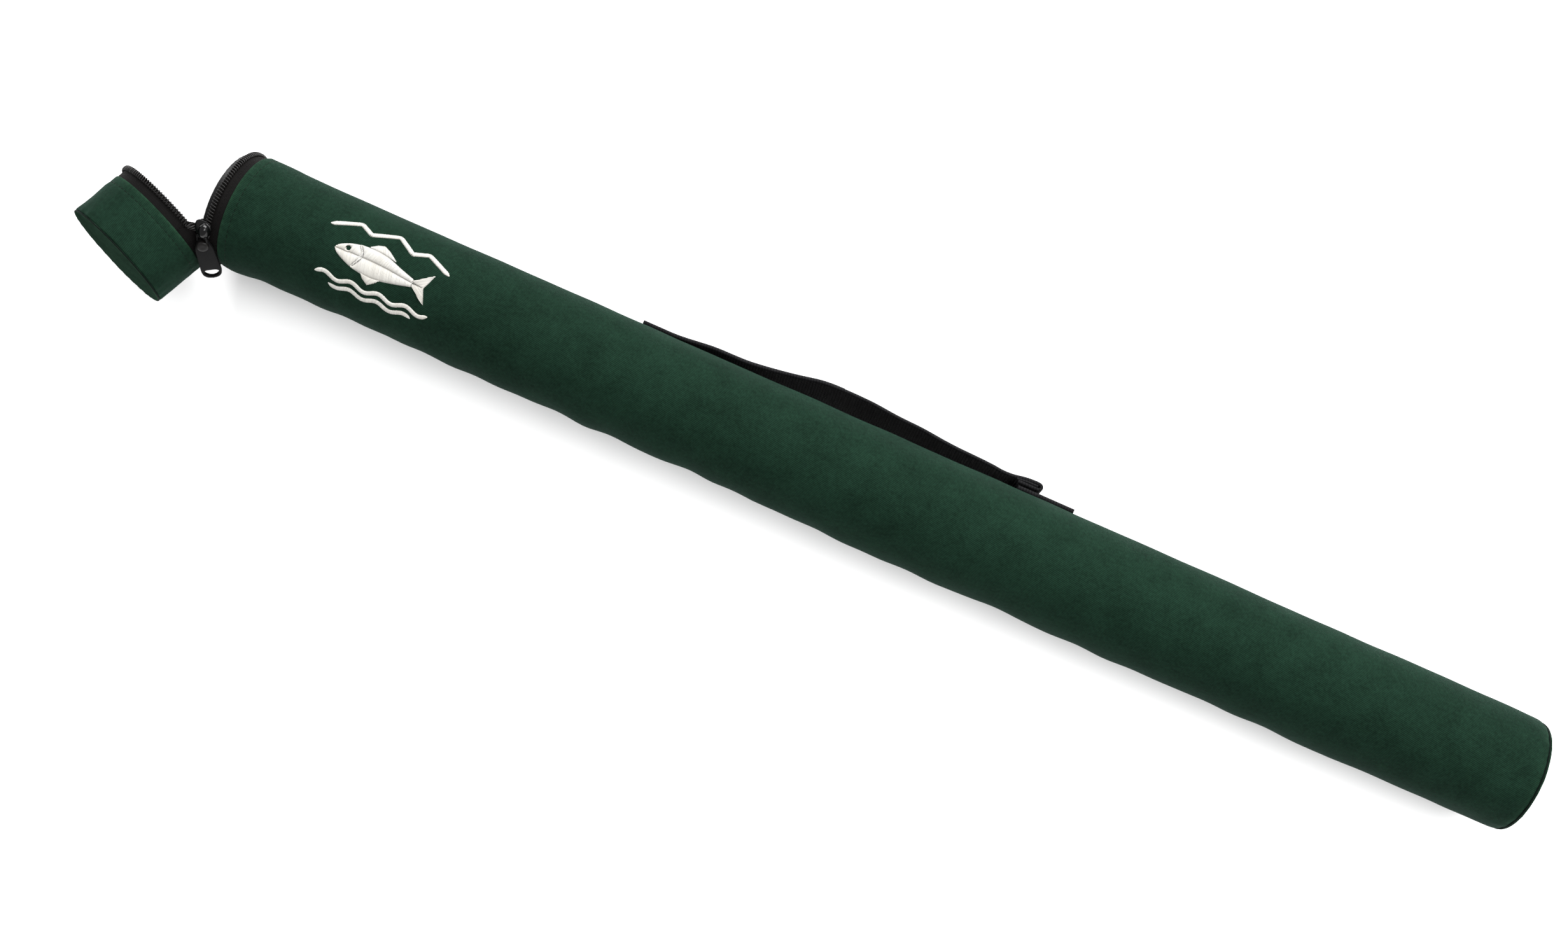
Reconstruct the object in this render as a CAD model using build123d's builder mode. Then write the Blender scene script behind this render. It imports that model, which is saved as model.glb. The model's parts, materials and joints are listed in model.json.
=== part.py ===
from build123d import *
import math
import os
from typing import Callable, NamedTuple

# Rod case: a rigid tube in a sewn sleeve, lying on its side along X, with its zipped lid hanging open.
# Origin: centre of the closed end's outer face.  +X: from the mouth to the closed end.  +Z up.
# Angles go round the tube from the -Y side (0) over the top (90) to the +Y side (180).
# Partial rings start at their highest angle and are revolved towards lower ones.
# The lid is drawn closed, on planes that are then swung about the hinge to its resting position.

# ---- driving dimensions (mm, degrees) ----
CASE_R = 32.0            # outside radius of the sleeve
SLEEVE_IN_R = 30.5       # inside radius of the padded sleeve
HEM_IN_R = 31.55         # inside radius of the single-layer hem over the zip tape
TUBE_R = 30.4            # rigid tube, outside
BORE_R = 28.4            # rigid tube, inside
GAP = 0.1                # clearance between neighbouring pieces

ZIP_X = -766.4           # plane where the two rows of zip teeth meet
LIP = 2.7                # tube stands out past the zip plane
HEM = 5.0                # depth of the hem over the tape
BODY_EDGE = 8.3          # zip plane to the edge of the sleeve
LID_EDGE = 4.6           # zip plane to the edge of the lid's fabric
LID_FABRIC = 29.2        # lid fabric, edge to end seam
RIM = 1.9                # end seam to the outer face of an end panel
RIM_GAP = 0.55           # end seam to the cover on one side, to the end panel on the other
WELT_R = 0.5             # cord in an end seam
FELL_ANGLE = 256.0       # one edge of the flat-felled seam, low on the +Y side
FELL_ARC = 14.0
FELL_T = 0.32

PAD_X = -13.1            # face of the foam disc towards the closed end
PAD_T = 6.0

HINGE_R = 32.5           # fold line of the fabric hinge
HINGE_ANGLE = 18.5       # where it is round the mouth
LID_OPEN = 70.5          # how far the lid hangs open
PATCH_HALF = 24.5        # half width of the hinge patch, degrees

TAPE_IN_R, TAPE_R = 31.1, 31.5
TAPE_MID_R = (TAPE_IN_R + TAPE_R) / 2
TAPE_T = TAPE_R - TAPE_IN_R
TAPE_RING = 6.0          # zip plane to the start of the full ring of tape
HINGE_GAP = 27           # half width of the break in the body's free tape edge, degrees
LEAD = 49.2              # lid chain held to the case, to this angle from the hinge
LEAD_GAP = 0.6           # from there to the tape that goes with the lid, degrees

TOOTH_IN_R, TOOTH_R = 31.55, 33.1
TOOTH_PITCH = 3.0        # degrees round the mouth
TOOTH_WIDTH = 1.15
TOOTH_LENGTH = 2.95
TOOTH_SETBACK = 0.35     # zip plane to the teeth; also their corner radius
BODY_TEETH, LID_TEETH, LEAD_TEETH = 102, 87, 7
LEAD_TEETH_FROM = 30     # hinge to the nearest and farthest lead teeth, degrees
LEAD_TEETH_TO = 48
STOP_FAR = 26.7          # far side of a zip stop from the hinge, degrees
STOP_ARC = 1.7

os.makedirs("parts", exist_ok=True)


# ================= planes and the two halves =================

def around(angle):
    """Half-plane through the tube's axis: local x is X, local y points outward."""
    s, c = math.sin(math.radians(angle)), math.cos(math.radians(angle))
    return Plane(origin=(0, 0, 0), x_dir=(1, 0, 0), z_dir=(0, -s, -c))


def across(angle, x):
    """Plane square to the tube at x: local y points outward at the angle."""
    s, c = math.sin(math.radians(angle)), math.cos(math.radians(angle))
    return Plane(origin=(x, 0, 0), x_dir=(0, s, c), z_dir=(1, 0, 0))


hinge_sin = math.sin(math.radians(HINGE_ANGLE))
hinge_cos = math.cos(math.radians(HINGE_ANGLE))
HINGE_POINT = Vector(ZIP_X, -HINGE_R * hinge_cos, HINGE_R * hinge_sin)
HINGE_LINE = Axis((0, 0, 0), (0, hinge_sin, hinge_cos))


def swung(plane):
    """Carries a plane of the closed lid to where the lid hangs."""
    return Plane(
        origin=HINGE_POINT + (plane.origin - HINGE_POINT).rotate(HINGE_LINE, LID_OPEN),
        x_dir=plane.x_dir.rotate(HINGE_LINE, LID_OPEN),
        z_dir=plane.z_dir.rotate(HINGE_LINE, LID_OPEN),
    )


class Half(NamedTuple):
    """The case body or the lid, each lying on one side of the zip plane."""
    side: int          # direction along X from the zip plane while closed
    edge: float        # zip plane to the edge of the fabric
    seam_x: float      # end seam
    axis: Axis
    place: Callable    # takes a plane of the closed case to its resting position


lid_plane = swung(around(90))
BODY = Half(1, BODY_EDGE, -RIM, Axis.X, lambda plane: plane)
LID = Half(-1, LID_EDGE, ZIP_X - LID_EDGE - LID_FABRIC, Axis(lid_plane.origin, lid_plane.x_dir), swung)


# ================= shared shapes =================

def finish(block, label):
    block.part.label = label
    export_step(block.part, "parts/" + label + ".step")


def bar(label, half, angle, centre, size, arc, corner=0):
    """Rectangle (x, radius) revolved through an arc that starts at the angle."""
    with BuildPart() as piece:
        with BuildSketch(half.place(around(angle))):
            with Locations(centre):
                if corner:
                    RectangleRounded(*size, corner)
                else:
                    Rectangle(*size)
        revolve(axis=half.axis, revolution_arc=arc)
    finish(piece, label)


def disc(label, plane, radius, thickness, rounded=None):
    """Flat disc; rounded is the axis and group index of the rim edge to round."""
    with BuildPart() as piece:
        with BuildSketch(plane):
            Circle(radius)
        extrude(amount=thickness)
        if rounded:
            axis, index = rounded
            fillet(piece.edges().group_by(axis)[index], radius=1.0)
    finish(piece, label)


def tube(label, half, mouth_x, end_x, mouth_round=0):
    """Length of rigid tube."""
    with BuildPart() as piece:
        with BuildSketch(half.place(around(90))):
            with BuildLine():
                Polyline(
                    (mouth_x, BORE_R), (mouth_x, TUBE_R), (end_x, TUBE_R), (end_x, BORE_R),
                    close=True,
                )
            make_face()
        revolve(axis=half.axis)
        if mouth_round:
            fillet(piece.edges().group_by(half.axis)[0], radius=mouth_round)
    finish(piece, label)


def cover(label, half, end_round=0):
    """Padded sleeve that thins to a single-layer hem over the zip tape."""
    edge_x = ZIP_X + half.side * half.edge
    hem_x = edge_x + half.side * HEM
    end_x = half.seam_x - half.side * RIM_GAP
    with BuildPart() as piece:
        with BuildSketch(half.place(around(90))):
            with BuildLine():
                Polyline(
                    (edge_x, HEM_IN_R), (edge_x, CASE_R), (end_x, CASE_R), (end_x, SLEEVE_IN_R),
                    (hem_x, SLEEVE_IN_R), (hem_x, HEM_IN_R),
                    close=True,
                )
            make_face()
        revolve(axis=half.axis)
        if end_round:
            outer_edge = piece.edges().group_by(half.axis)[-1].sort_by(SortBy.LENGTH)[-1]
            fillet(outer_edge, radius=end_round)
    finish(piece, label)


def felled_seam(label, half, middle_x, length):
    """Raised flat-felled seam along the fabric."""
    bar(label, half, FELL_ANGLE, (middle_x, CASE_R + 0.2), (length, FELL_T), FELL_ARC, corner=0.1)


def welt(label, half):
    """Cord in the seam between a cover and its end panel."""
    with BuildPart() as piece:
        with BuildSketch(half.place(around(90))):
            with Locations((half.seam_x, CASE_R - 0.65)):
                Circle(WELT_R)
        revolve(axis=half.axis)
    finish(piece, label)


def zip_tape(label, half, gap):
    """Full ring under the hem, and a free edge that stops this many degrees from the hinge."""
    ring_end = half.edge + HEM - 0.2
    with BuildPart() as piece:
        with BuildSketch(half.place(around(90))):
            with Locations((ZIP_X + half.side * (TAPE_RING + ring_end) / 2, TAPE_MID_R)):
                Rectangle(ring_end - TAPE_RING, TAPE_T)
        revolve(axis=half.axis)
        with BuildSketch(half.place(around(HINGE_ANGLE + 360 - gap))):
            with Locations((ZIP_X + half.side * 3.25, TAPE_MID_R)):
                Rectangle(5.6, TAPE_T)
        revolve(axis=half.axis, revolution_arc=360 - 2 * gap)
    finish(piece, label)


def zip_teeth(label, side, place, rows):
    """Separate bars across the tape; each row is its highest angle and its tooth count."""
    with BuildPart() as piece:
        with BuildSketch(place(Plane.YZ.offset(ZIP_X + side * TOOTH_SETBACK))):
            for high_angle, count in rows:
                with PolarLocations(
                    (TOOTH_IN_R + TOOTH_R) / 2,
                    count,
                    start_angle=180 - high_angle,
                    angular_range=TOOTH_PITCH * (count - 1),
                    endpoint=True,
                ):
                    RectangleRounded(TOOTH_R - TOOTH_IN_R, TOOTH_WIDTH, TOOTH_SETBACK)
        extrude(amount=side * TOOTH_LENGTH)
    finish(piece, label)


def main_row(count):
    """Row of teeth centred opposite the hinge."""
    return HINGE_ANGLE + 180 + TOOTH_PITCH * (count - 1) / 2, count


def hinge_patch(label, half):
    """One half of the fabric hinge, up to the fold line."""
    centre = (ZIP_X + half.side * 3.05, TAPE_MID_R)
    bar(label, half, HINGE_ANGLE + PATCH_HALF, centre, (5.7, TAPE_T), 2 * PATCH_HALF)


# ================= case body =================

tube("inner_tube", BODY, ZIP_X - LIP, PAD_X - PAD_T - GAP, mouth_round=0.8)

PLUG_R = 27.0            # reduced radius of the plug
with BuildPart() as end_plug:
    with BuildSketch(around(90)):
        with BuildLine():
            Polyline(
                (-5.0, 0), (-5.0, PLUG_R), (PAD_X + GAP, PLUG_R), (PAD_X + GAP, TUBE_R),
                (-2.0, TUBE_R), (-2.0, 0),
                close=True,
            )
        make_face()
    revolve(axis=Axis.X)
finish(end_plug, "end_plug")

# foam disc held between the plug and the end of the tube
disc("bottom_pad", Plane.YZ.offset(PAD_X), TUBE_R - GAP, -PAD_T)

cover("body_cover", BODY, end_round=0.6)
felled_seam("body_seam", BODY, (ZIP_X + BODY_EDGE - RIM) / 2 - 0.5, abs(ZIP_X) - BODY_EDGE - 5.0)
disc("end_panel", Plane.YZ, CASE_R - 0.15, -(RIM - RIM_GAP), rounded=(Axis.X, -1))
welt("end_welt", BODY)

zip_tape("body_zip_tape", BODY, HINGE_GAP)
zip_teeth("body_zip_teeth", BODY.side, BODY.place, [main_row(BODY_TEETH)])

# the lid's tape and teeth next to the hinge, which the slider and the stops hold to the case
with BuildPart() as zip_lead_tape:
    for lead_angle in (HINGE_ANGLE + LEAD, HINGE_ANGLE - HINGE_GAP):
        with BuildSketch(around(lead_angle)):
            with Locations((ZIP_X - 2.25, TAPE_MID_R)):
                Rectangle(3.6, TAPE_T)
        revolve(axis=Axis.X, revolution_arc=LEAD - HINGE_GAP)
finish(zip_lead_tape, "zip_lead_tape")

zip_teeth("zip_lead_teeth", LID.side, BODY.place, [
    (HINGE_ANGLE + LEAD_TEETH_TO, LEAD_TEETH),
    (HINGE_ANGLE - LEAD_TEETH_FROM, LEAD_TEETH),
])

for label, stop_angle in (
    ("zip_start_stop", HINGE_ANGLE + STOP_FAR),
    ("zip_end_stop", HINGE_ANGLE - STOP_FAR + STOP_ARC),
):
    bar(label, BODY, stop_angle, (ZIP_X, (TAPE_IN_R + TOOTH_R) / 2),
        (6.4, TOOTH_R - TAPE_IN_R), STOP_ARC, corner=0.5)

hinge_patch("hinge_patch_body", BODY)

# ================= lid =================

RING_END_X = LID.seam_x + 2.5      # end of the lid's ring of tube

hinge_patch("hinge_patch_lid", LID)
cover("lid_cover", LID)
felled_seam("lid_seam", LID, (ZIP_X - LID_EDGE + LID.seam_x) / 2, LID_FABRIC - 3.0)
disc("lid_end_panel", swung(across(90, LID.seam_x - RIM)), CASE_R - 0.15, RIM - RIM_GAP,
     rounded=(LID.axis, 0))
welt("lid_end_welt", LID)
tube("lid_ring", LID, ZIP_X - LIP - 2.0, RING_END_X)
disc("lid_board", swung(across(90, RING_END_X - GAP)), TUBE_R - GAP, -2.3)
disc("lid_pad", swung(across(90, RING_END_X)), BORE_R - 0.2, PAD_T, rounded=(LID.axis, -1))
zip_tape("lid_zip_tape", LID, LEAD + LEAD_GAP)
zip_teeth("lid_zip_teeth", LID.side, LID.place, [main_row(LID_TEETH)])

# ================= zip slider and pull =================

SLIDER_ANGLE = 57.0
SLIDER_HALF = 9.3        # half its length, degrees
SLIDER_WIDTH = 8.8
SLIDER_TOP_R = 34.15
PLATE_T = 0.9            # outer plate
FLANGE_T = 0.84
flange_x = (SLIDER_WIDTH - FLANGE_T) / 2

# two plates joined by a post at the nose, with flanges that hold the teeth in
with BuildPart() as zip_slider:
    with BuildSketch(around(SLIDER_ANGLE + SLIDER_HALF)):
        with Locations((ZIP_X, SLIDER_TOP_R - PLATE_T / 2)):
            Rectangle(SLIDER_WIDTH, PLATE_T)
        with Locations((ZIP_X - flange_x, 32.45), (ZIP_X + flange_x, 32.45)):
            Rectangle(FLANGE_T, 1.7)
        with Locations((ZIP_X, 30.75)):
            Rectangle(SLIDER_WIDTH, 0.6)
    revolve(axis=Axis.X, revolution_arc=2 * SLIDER_HALF)
    with BuildSketch(around(SLIDER_ANGLE + SLIDER_HALF - 1.0)):
        with Locations((ZIP_X, 32.2)):
            Rectangle(0.5, 2.4)
    revolve(axis=Axis.X, revolution_arc=2.4)
    curved_edges = zip_slider.edges().filter_by(GeomType.CIRCLE)
    fillet(curved_edges.filter_by(lambda e: abs(e.radius - SLIDER_TOP_R) < 0.01), radius=0.5)
finish(zip_slider, "zip_slider")

# domed bridge with a round eye for the pull; points are (round the mouth, radius)
BRIDGE = across(SLIDER_ANGLE, ZIP_X + 1.5)
BRIDGE_DOME = ((5.0, 35.2), (3.4, 37.6), (0.2, 38.9), (-3.0, 38.7), (-4.9, 36.4))
BRIDGE_FOOT_R = 34.3
EYE_CENTRE = (-2.6, 36.6)
with BuildPart() as slider_bail:
    with BuildSketch(BRIDGE):
        with BuildLine():
            Polyline((-4.9, BRIDGE_FOOT_R), (5.0, BRIDGE_FOOT_R), BRIDGE_DOME[0])
            Spline(*BRIDGE_DOME, tangents=((-0.1, 1), (0, -1)))
            Line(BRIDGE_DOME[-1], (-4.9, BRIDGE_FOOT_R))
        make_face()
        with Locations(EYE_CENTRE):
            Circle(1.0, mode=Mode.SUBTRACT)
    extrude(amount=1.9, both=True)
    fillet(slider_bail.edges().filter_by(Plane.YZ).group_by(SortBy.LENGTH)[-1], radius=0.9)
finish(slider_bail, "slider_bail")

# the pull hangs from the eye by a wire link, down the -Y side of the case
WIRE_R = 0.65
LINK_LENGTH = 5.4
LINK_HALF = 2.75         # half its width
eye = BRIDGE.from_local_coords(Vector(*EYE_CENTRE, 0))
hang = Vector(0, -0.55, -0.835).normalized()
LINK_PLANE = Plane(origin=eye, x_dir=hang, z_dir=hang.cross(Vector(1, 0, 0)))
with BuildPart() as pull_link:
    with BuildLine(LINK_PLANE) as link_path:
        FilletPolyline(
            (0, 0.05), (0, LINK_HALF), (LINK_LENGTH, LINK_HALF),
            (LINK_LENGTH, -LINK_HALF), (0, -LINK_HALF), (0, -0.05),
            radius=0.9,
        )
    with BuildSketch(Plane(origin=link_path.wires()[0] @ 0, z_dir=link_path.wires()[0] % 0)):
        Circle(WIRE_R)
    sweep()
finish(pull_link, "pull_link")

# tab with a slot near its tip, on a barrel that turns on the link
TAB_TIP = Vector(ZIP_X + 7.5, -39.6, 6.4)
barrel = LINK_PLANE.from_local_coords(Vector(LINK_LENGTH, 0, 0))
tab_dir = (TAB_TIP - barrel).normalized()
tab_length = (TAB_TIP - barrel).length
shoulder = tab_length - 4.4        # where the rounded tip starts
TAB_PLANE = Plane(origin=barrel, x_dir=tab_dir, z_dir=tab_dir.cross(Vector(1, 0, 0)).normalized())
BARREL_PLANE = Plane(origin=barrel, x_dir=hang, z_dir=(1, 0, 0))
with BuildPart() as zip_pull:
    with BuildSketch(TAB_PLANE):
        with BuildLine():
            Polyline((0.4, -1.7), (0.4, 1.7), (3.4, 4.0), (shoulder, 4.5))
            ThreePointArc((shoulder, 4.5), (tab_length, 0), (shoulder, -4.5))
            Polyline((shoulder, -4.5), (3.4, -4.0), (0.4, -1.7))
        make_face()
        with Locations((tab_length - 4.0, 0)):
            SlotOverall(6.0, 3.6, rotation=90, mode=Mode.SUBTRACT)
    extrude(amount=1.2, both=True)
    fillet(zip_pull.edges().filter_by(TAB_PLANE).group_by(SortBy.LENGTH)[-1], radius=0.45)
    with BuildSketch(BARREL_PLANE):
        Circle(1.9)
    extrude(amount=1.8, both=True)
    with BuildSketch(BARREL_PLANE):
        Circle(WIRE_R + 0.08)
    extrude(amount=2.6, both=True, mode=Mode.SUBTRACT)
finish(zip_pull, "zip_pull")

# ================= carry handle =================

STRAP_ANGLE = 206.0      # handle's centre line
STRAP_HALF = 15.0        # half width of the webbing
STRAP_T = 2.0
STRAP_BEND_R = 33.0      # radius at which the width is wrapped round the case
strap_arc = 2 * math.degrees(STRAP_HALF / STRAP_BEND_R)

# anchors sewn to the sleeve: start and end, from the zip plane
for label, start, end in (
    ("handle_anchor_front", 234.0, 250.8),
    ("handle_anchor_rear", 471.0, 491.0),
):
    bar(label, BODY, STRAP_ANGLE + strap_arc / 2,
        (ZIP_X + (start + end) / 2, CASE_R + GAP + STRAP_T / 2), (end - start, STRAP_T), strap_arc)

# free span: flat webbing that bows away from the case and comes back low before the folded end
# (distance from the zip plane, radius of the webbing's inner face)
WEB_INNER = (
    (251.4, 32.2), (284.0, 32.3), (306.0, 33.7), (322.0, 36.8), (338.0, 39.1), (347.0, 39.5),
    (357.0, 39.2), (376.0, 37.6), (395.0, 35.9), (423.0, 34.2), (456.0, 33.2),
)
web_low = [(ZIP_X + x, radius) for x, radius in WEB_INNER]
web_high = [(x, radius + STRAP_T) for x, radius in web_low]
with BuildPart() as handle_web:
    with BuildSketch(around(STRAP_ANGLE)):
        with BuildLine():
            Spline(*web_low)
            Line(web_low[-1], web_high[-1])
            Spline(*web_high)
            Line(web_high[0], web_low[0])
        make_face()
    extrude(amount=STRAP_HALF, both=True)
finish(handle_web, "handle_web")

# rear end of the webbing, doubled back on itself
with BuildPart() as handle_fold:
    with BuildSketch(around(STRAP_ANGLE)):
        with Locations((ZIP_X + 463.8, 35.75)):
            RectangleRounded(12.8, 7.1, 1.0)
    extrude(amount=STRAP_HALF, both=True)
finish(handle_fold, "handle_fold")

# ================= emblem =================
# embroidered badge on top of the sleeve near the mouth: a fish between a ridge line and water
# outlines are (x, y) from the emblem's centre, seen from above

EMBLEM_X, EMBLEM_Y = ZIP_X + 98.0, 1.0
FISH_BACK = ((-27.0, 1.0), (-14.0, 7.6), (2.0, 7.2), (19.0, 1.9))
FISH_TAIL = ((19.0, 1.9), (28.5, 8.0), (25.6, -0.6), (28.5, -8.6), (19.0, -2.4))
FISH_BELLY = ((19.0, -2.4), (2.0, -6.4), (-14.0, -5.8), (-27.0, 1.0))
UPPER_FIN = ((-9.0, 7.6), (-3.0, 11.8), (6.4, 6.4), (-3.0, 5.0))
LOWER_FIN = ((-8.0, -5.4), (-3.4, -10.0), (1.2, -5.6), (-3.0, -4.0))
GILL = ((-14.6, 5.4), (-12.4, 0.8), (-15.0, -3.4))
RIDGE = (
    (-35.0, 12.4), (-20.0, 19.2), (-12.5, 15.4), (1.5, 21.6),
    (12.0, 14.8), (20.5, 18.2), (35.0, 11.4),
)
WAVES = ((-14.2, 33.0), (-18.6, 24.0))     # (y, half length)
WAVE_HEIGHT, WAVE_LENGTH, WAVE_STEPS = 1.15, 16.0, 24

with BuildPart() as emblem:
    # thin curved layer over the sleeve, cut to the drawing below
    with BuildSketch(around(150)):
        with Locations((EMBLEM_X, CASE_R + 0.26)):
            Rectangle(100, 0.42)
    revolve(axis=Axis.X, revolution_arc=120)
    with BuildSketch(Plane(origin=(EMBLEM_X, EMBLEM_Y, 16.0))):
        with BuildLine():
            Spline(*FISH_BACK, tangents=((0.55, 1), (1, -0.25)))
            Polyline(*FISH_TAIL)
            Spline(*FISH_BELLY, tangents=((-1, -0.25), (-0.55, 1)))
        make_face()
        for fin in (UPPER_FIN, LOWER_FIN):
            with BuildLine():
                Polyline(*fin, close=True)
            make_face()
        # eye
        with Locations((-20.0, 2.6)):
            Circle(1.15, mode=Mode.SUBTRACT)
        with BuildLine() as gill:
            ThreePointArc(*GILL)
        trace(gill.line, line_width=1.1, mode=Mode.SUBTRACT)
        for row, span in WAVES:
            wave_x = [-span + 2 * span * i / WAVE_STEPS for i in range(WAVE_STEPS + 1)]
            with BuildLine() as wave:
                Spline(*[
                    (x, row + WAVE_HEIGHT * math.sin(x * 2 * math.pi / WAVE_LENGTH)) for x in wave_x
                ])
            trace(wave.line, line_width=1.7)
        with BuildLine() as ridge:
            Polyline(*RIDGE)
        trace(ridge.line, line_width=1.8)
    extrude(amount=30.0, mode=Mode.INTERSECT)
finish(emblem, "emblem")
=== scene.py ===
import json
import math

import bpy
import bmesh
import numpy as np
from mathutils import Matrix, Vector


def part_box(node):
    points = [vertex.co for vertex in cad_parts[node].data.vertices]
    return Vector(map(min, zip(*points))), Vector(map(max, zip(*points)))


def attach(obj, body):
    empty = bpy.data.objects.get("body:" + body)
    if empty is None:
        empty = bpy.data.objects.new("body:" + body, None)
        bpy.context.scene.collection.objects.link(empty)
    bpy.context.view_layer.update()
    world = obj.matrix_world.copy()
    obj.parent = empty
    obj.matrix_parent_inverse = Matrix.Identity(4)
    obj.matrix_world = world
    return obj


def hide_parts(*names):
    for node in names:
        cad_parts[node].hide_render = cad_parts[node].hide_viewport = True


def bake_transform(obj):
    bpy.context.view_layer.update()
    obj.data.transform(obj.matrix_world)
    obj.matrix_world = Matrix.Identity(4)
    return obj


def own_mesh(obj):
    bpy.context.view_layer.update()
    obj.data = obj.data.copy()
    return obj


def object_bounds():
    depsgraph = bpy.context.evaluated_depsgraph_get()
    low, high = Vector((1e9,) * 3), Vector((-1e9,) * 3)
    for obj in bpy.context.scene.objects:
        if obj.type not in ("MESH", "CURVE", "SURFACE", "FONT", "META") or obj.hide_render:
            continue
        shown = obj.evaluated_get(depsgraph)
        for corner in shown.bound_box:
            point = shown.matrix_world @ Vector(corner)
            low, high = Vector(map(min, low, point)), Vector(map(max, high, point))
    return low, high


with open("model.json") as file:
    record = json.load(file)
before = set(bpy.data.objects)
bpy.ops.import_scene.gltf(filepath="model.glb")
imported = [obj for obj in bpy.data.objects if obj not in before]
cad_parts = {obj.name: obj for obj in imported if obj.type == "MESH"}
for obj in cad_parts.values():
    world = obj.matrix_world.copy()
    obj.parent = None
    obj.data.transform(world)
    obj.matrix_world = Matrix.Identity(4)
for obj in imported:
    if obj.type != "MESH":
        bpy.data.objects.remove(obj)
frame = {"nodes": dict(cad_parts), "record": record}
CAD_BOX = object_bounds()
X_AXIS = np.array([1.0, 0, 0])


# ------------------------------------------------------------------ driving dimensions
def box_mm(node):
    """Low and high corners of a CAD piece."""
    return [np.array(corner, float) * 1000.0 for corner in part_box(node)[:2]]


joints = {joint["name"]: joint for joint in frame["record"]["behaviour"]["joints"]}
hinge_joint = joints["lid_hinge"]
HINGE = np.array(hinge_joint["pos_m"], float) * 1000.0
HINGE_AXIS = np.array(hinge_joint["axis"], float)
HINGE_AXIS = HINGE_AXIS / np.linalg.norm(HINGE_AXIS)
OPEN = math.radians(-hinge_joint["range_deg"][0])               # lid swing from shut to rest
HINGE_ANGLE = math.degrees(math.atan2(HINGE_AXIS[1], HINGE_AXIS[2]))
HINGE_OUT = np.array([0.0, -math.cos(math.radians(HINGE_ANGLE)),
                      math.sin(math.radians(HINGE_ANGLE))])     # from the tube's axis to the hinge
# across the open hinge, from the case's side to the lid's
BISECTOR = -(math.cos(OPEN / 2) * X_AXIS - math.sin(OPEN / 2) * HINGE_OUT)

cover_low, cover_high = box_mm("body_cover")
RADIUS = (cover_high[2] - cover_low[2]) / 2     # outside of the sleeve
ZIP_X = HINGE[0]                                # zip plane
MOUTH_X = cover_low[0]                          # the sleeve's green edge
MOUTH = MOUTH_X - ZIP_X                         # zip plane to that edge
END_X = -1.6                                    # seam between sleeve and end panel
END_ROLL = 6.5                                  # the sleeve rolls over the end over this length
END_DROP = 1.1                                  # and by this much
LID_MOUTH = 4.6                                 # zip plane to the lid's green edge
LID_MOUTH_X = ZIP_X - LID_MOUTH
LID_SEAM = LID_MOUTH + 28.9                     # zip plane to the lid's end seam
CLOTH_R = 32.0                                  # nominal radius handed to the relief functions
OUTER_R = 31.2                                  # profile points above this are outer cloth
FELL_ANGLE = 249.0                              # felled seam low on the +Y side
FELL_HALF = 7.0
rng = np.random.default_rng(7)


# ------------------------------------------------------------------ points and curves
def on_tube(x, angle, radius):
    angle = np.radians(angle)
    x, angle, radius = np.broadcast_arrays(np.asarray(x, float), angle, np.asarray(radius, float))
    return np.stack([x, -radius * np.cos(angle), radius * np.sin(angle)], -1)


def turn(points, phi):
    """Turns points about the lid hinge by phi (radians, one for all or one per point)."""
    points = np.asarray(points, float)
    phi = np.broadcast_to(np.asarray(phi, float), points.shape[:-1])[..., None]
    arm = points - HINGE
    return (HINGE + arm * np.cos(phi) + np.cross(HINGE_AXIS, arm) * np.sin(phi)
            + HINGE_AXIS * (arm @ HINGE_AXIS)[..., None] * (1 - np.cos(phi)))


def swing(points):
    """From the closed lid's place to the open lid's."""
    return turn(points, OPEN)


def posed(points, body):
    return swing(points) if body == "lid" else points


def smooth(share):
    share = np.clip(share, 0, 1)
    return share * share * (3 - 2 * share)


def spread(start, end, step):
    count = max(2, int(round(abs(end - start) / step)) + 1)
    return np.linspace(start, end, count)


def catmull(points, steps):
    """Smooth curve through 2-D or 3-D points, with this many steps per span."""
    ends = np.array(points, float)
    ends = np.vstack([2 * ends[0] - ends[1], ends, 2 * ends[-1] - ends[-2]])
    curve = []
    for i in range(1, len(ends) - 2):
        before, start, end, after = ends[i - 1:i + 3]
        for t in np.arange(steps) / steps:
            curve.append(0.5 * (2 * start + (end - before) * t
                                + (2 * before - 5 * start + 4 * end - after) * t ** 2
                                + (3 * start - before - 3 * end + after) * t ** 3))
    curve.append(ends[-2])
    return np.array(curve)


def run_length(path, closed=False):
    """Distance run at each point of a path, and back at the first one if it is closed."""
    if closed:
        path = np.vstack([path, path[:1]])
    return np.r_[0, np.cumsum(np.linalg.norm(np.diff(path, axis=0), axis=1))]


def resample(path, count):
    path = np.asarray(path, float)
    run = run_length(path)
    even = np.linspace(0, run[-1], count)
    return np.stack([np.interp(even, run, path[:, k]) for k in range(path.shape[1])], 1)


def unit_tangents(path):
    tangent = np.gradient(path, axis=0)
    return tangent / np.linalg.norm(tangent, axis=1, keepdims=True)


def frames(path):
    """Tangents and two steady normals along a polyline."""
    tangent = np.gradient(path, axis=0)
    tangent /= np.maximum(np.linalg.norm(tangent, axis=1, keepdims=True), 1e-9)
    normal = np.zeros_like(tangent)
    helper = np.array([0.0, 0, 1.0]) if abs(tangent[0, 2]) < 0.9 else X_AXIS
    first = np.cross(tangent[0], helper)
    normal[0] = first / np.linalg.norm(first)
    for i in range(1, len(tangent)):
        step = normal[i - 1] - tangent[i] * (normal[i - 1] @ tangent[i])
        normal[i] = step / max(np.linalg.norm(step), 1e-9)
    return tangent, normal, np.cross(tangent, normal)


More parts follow.
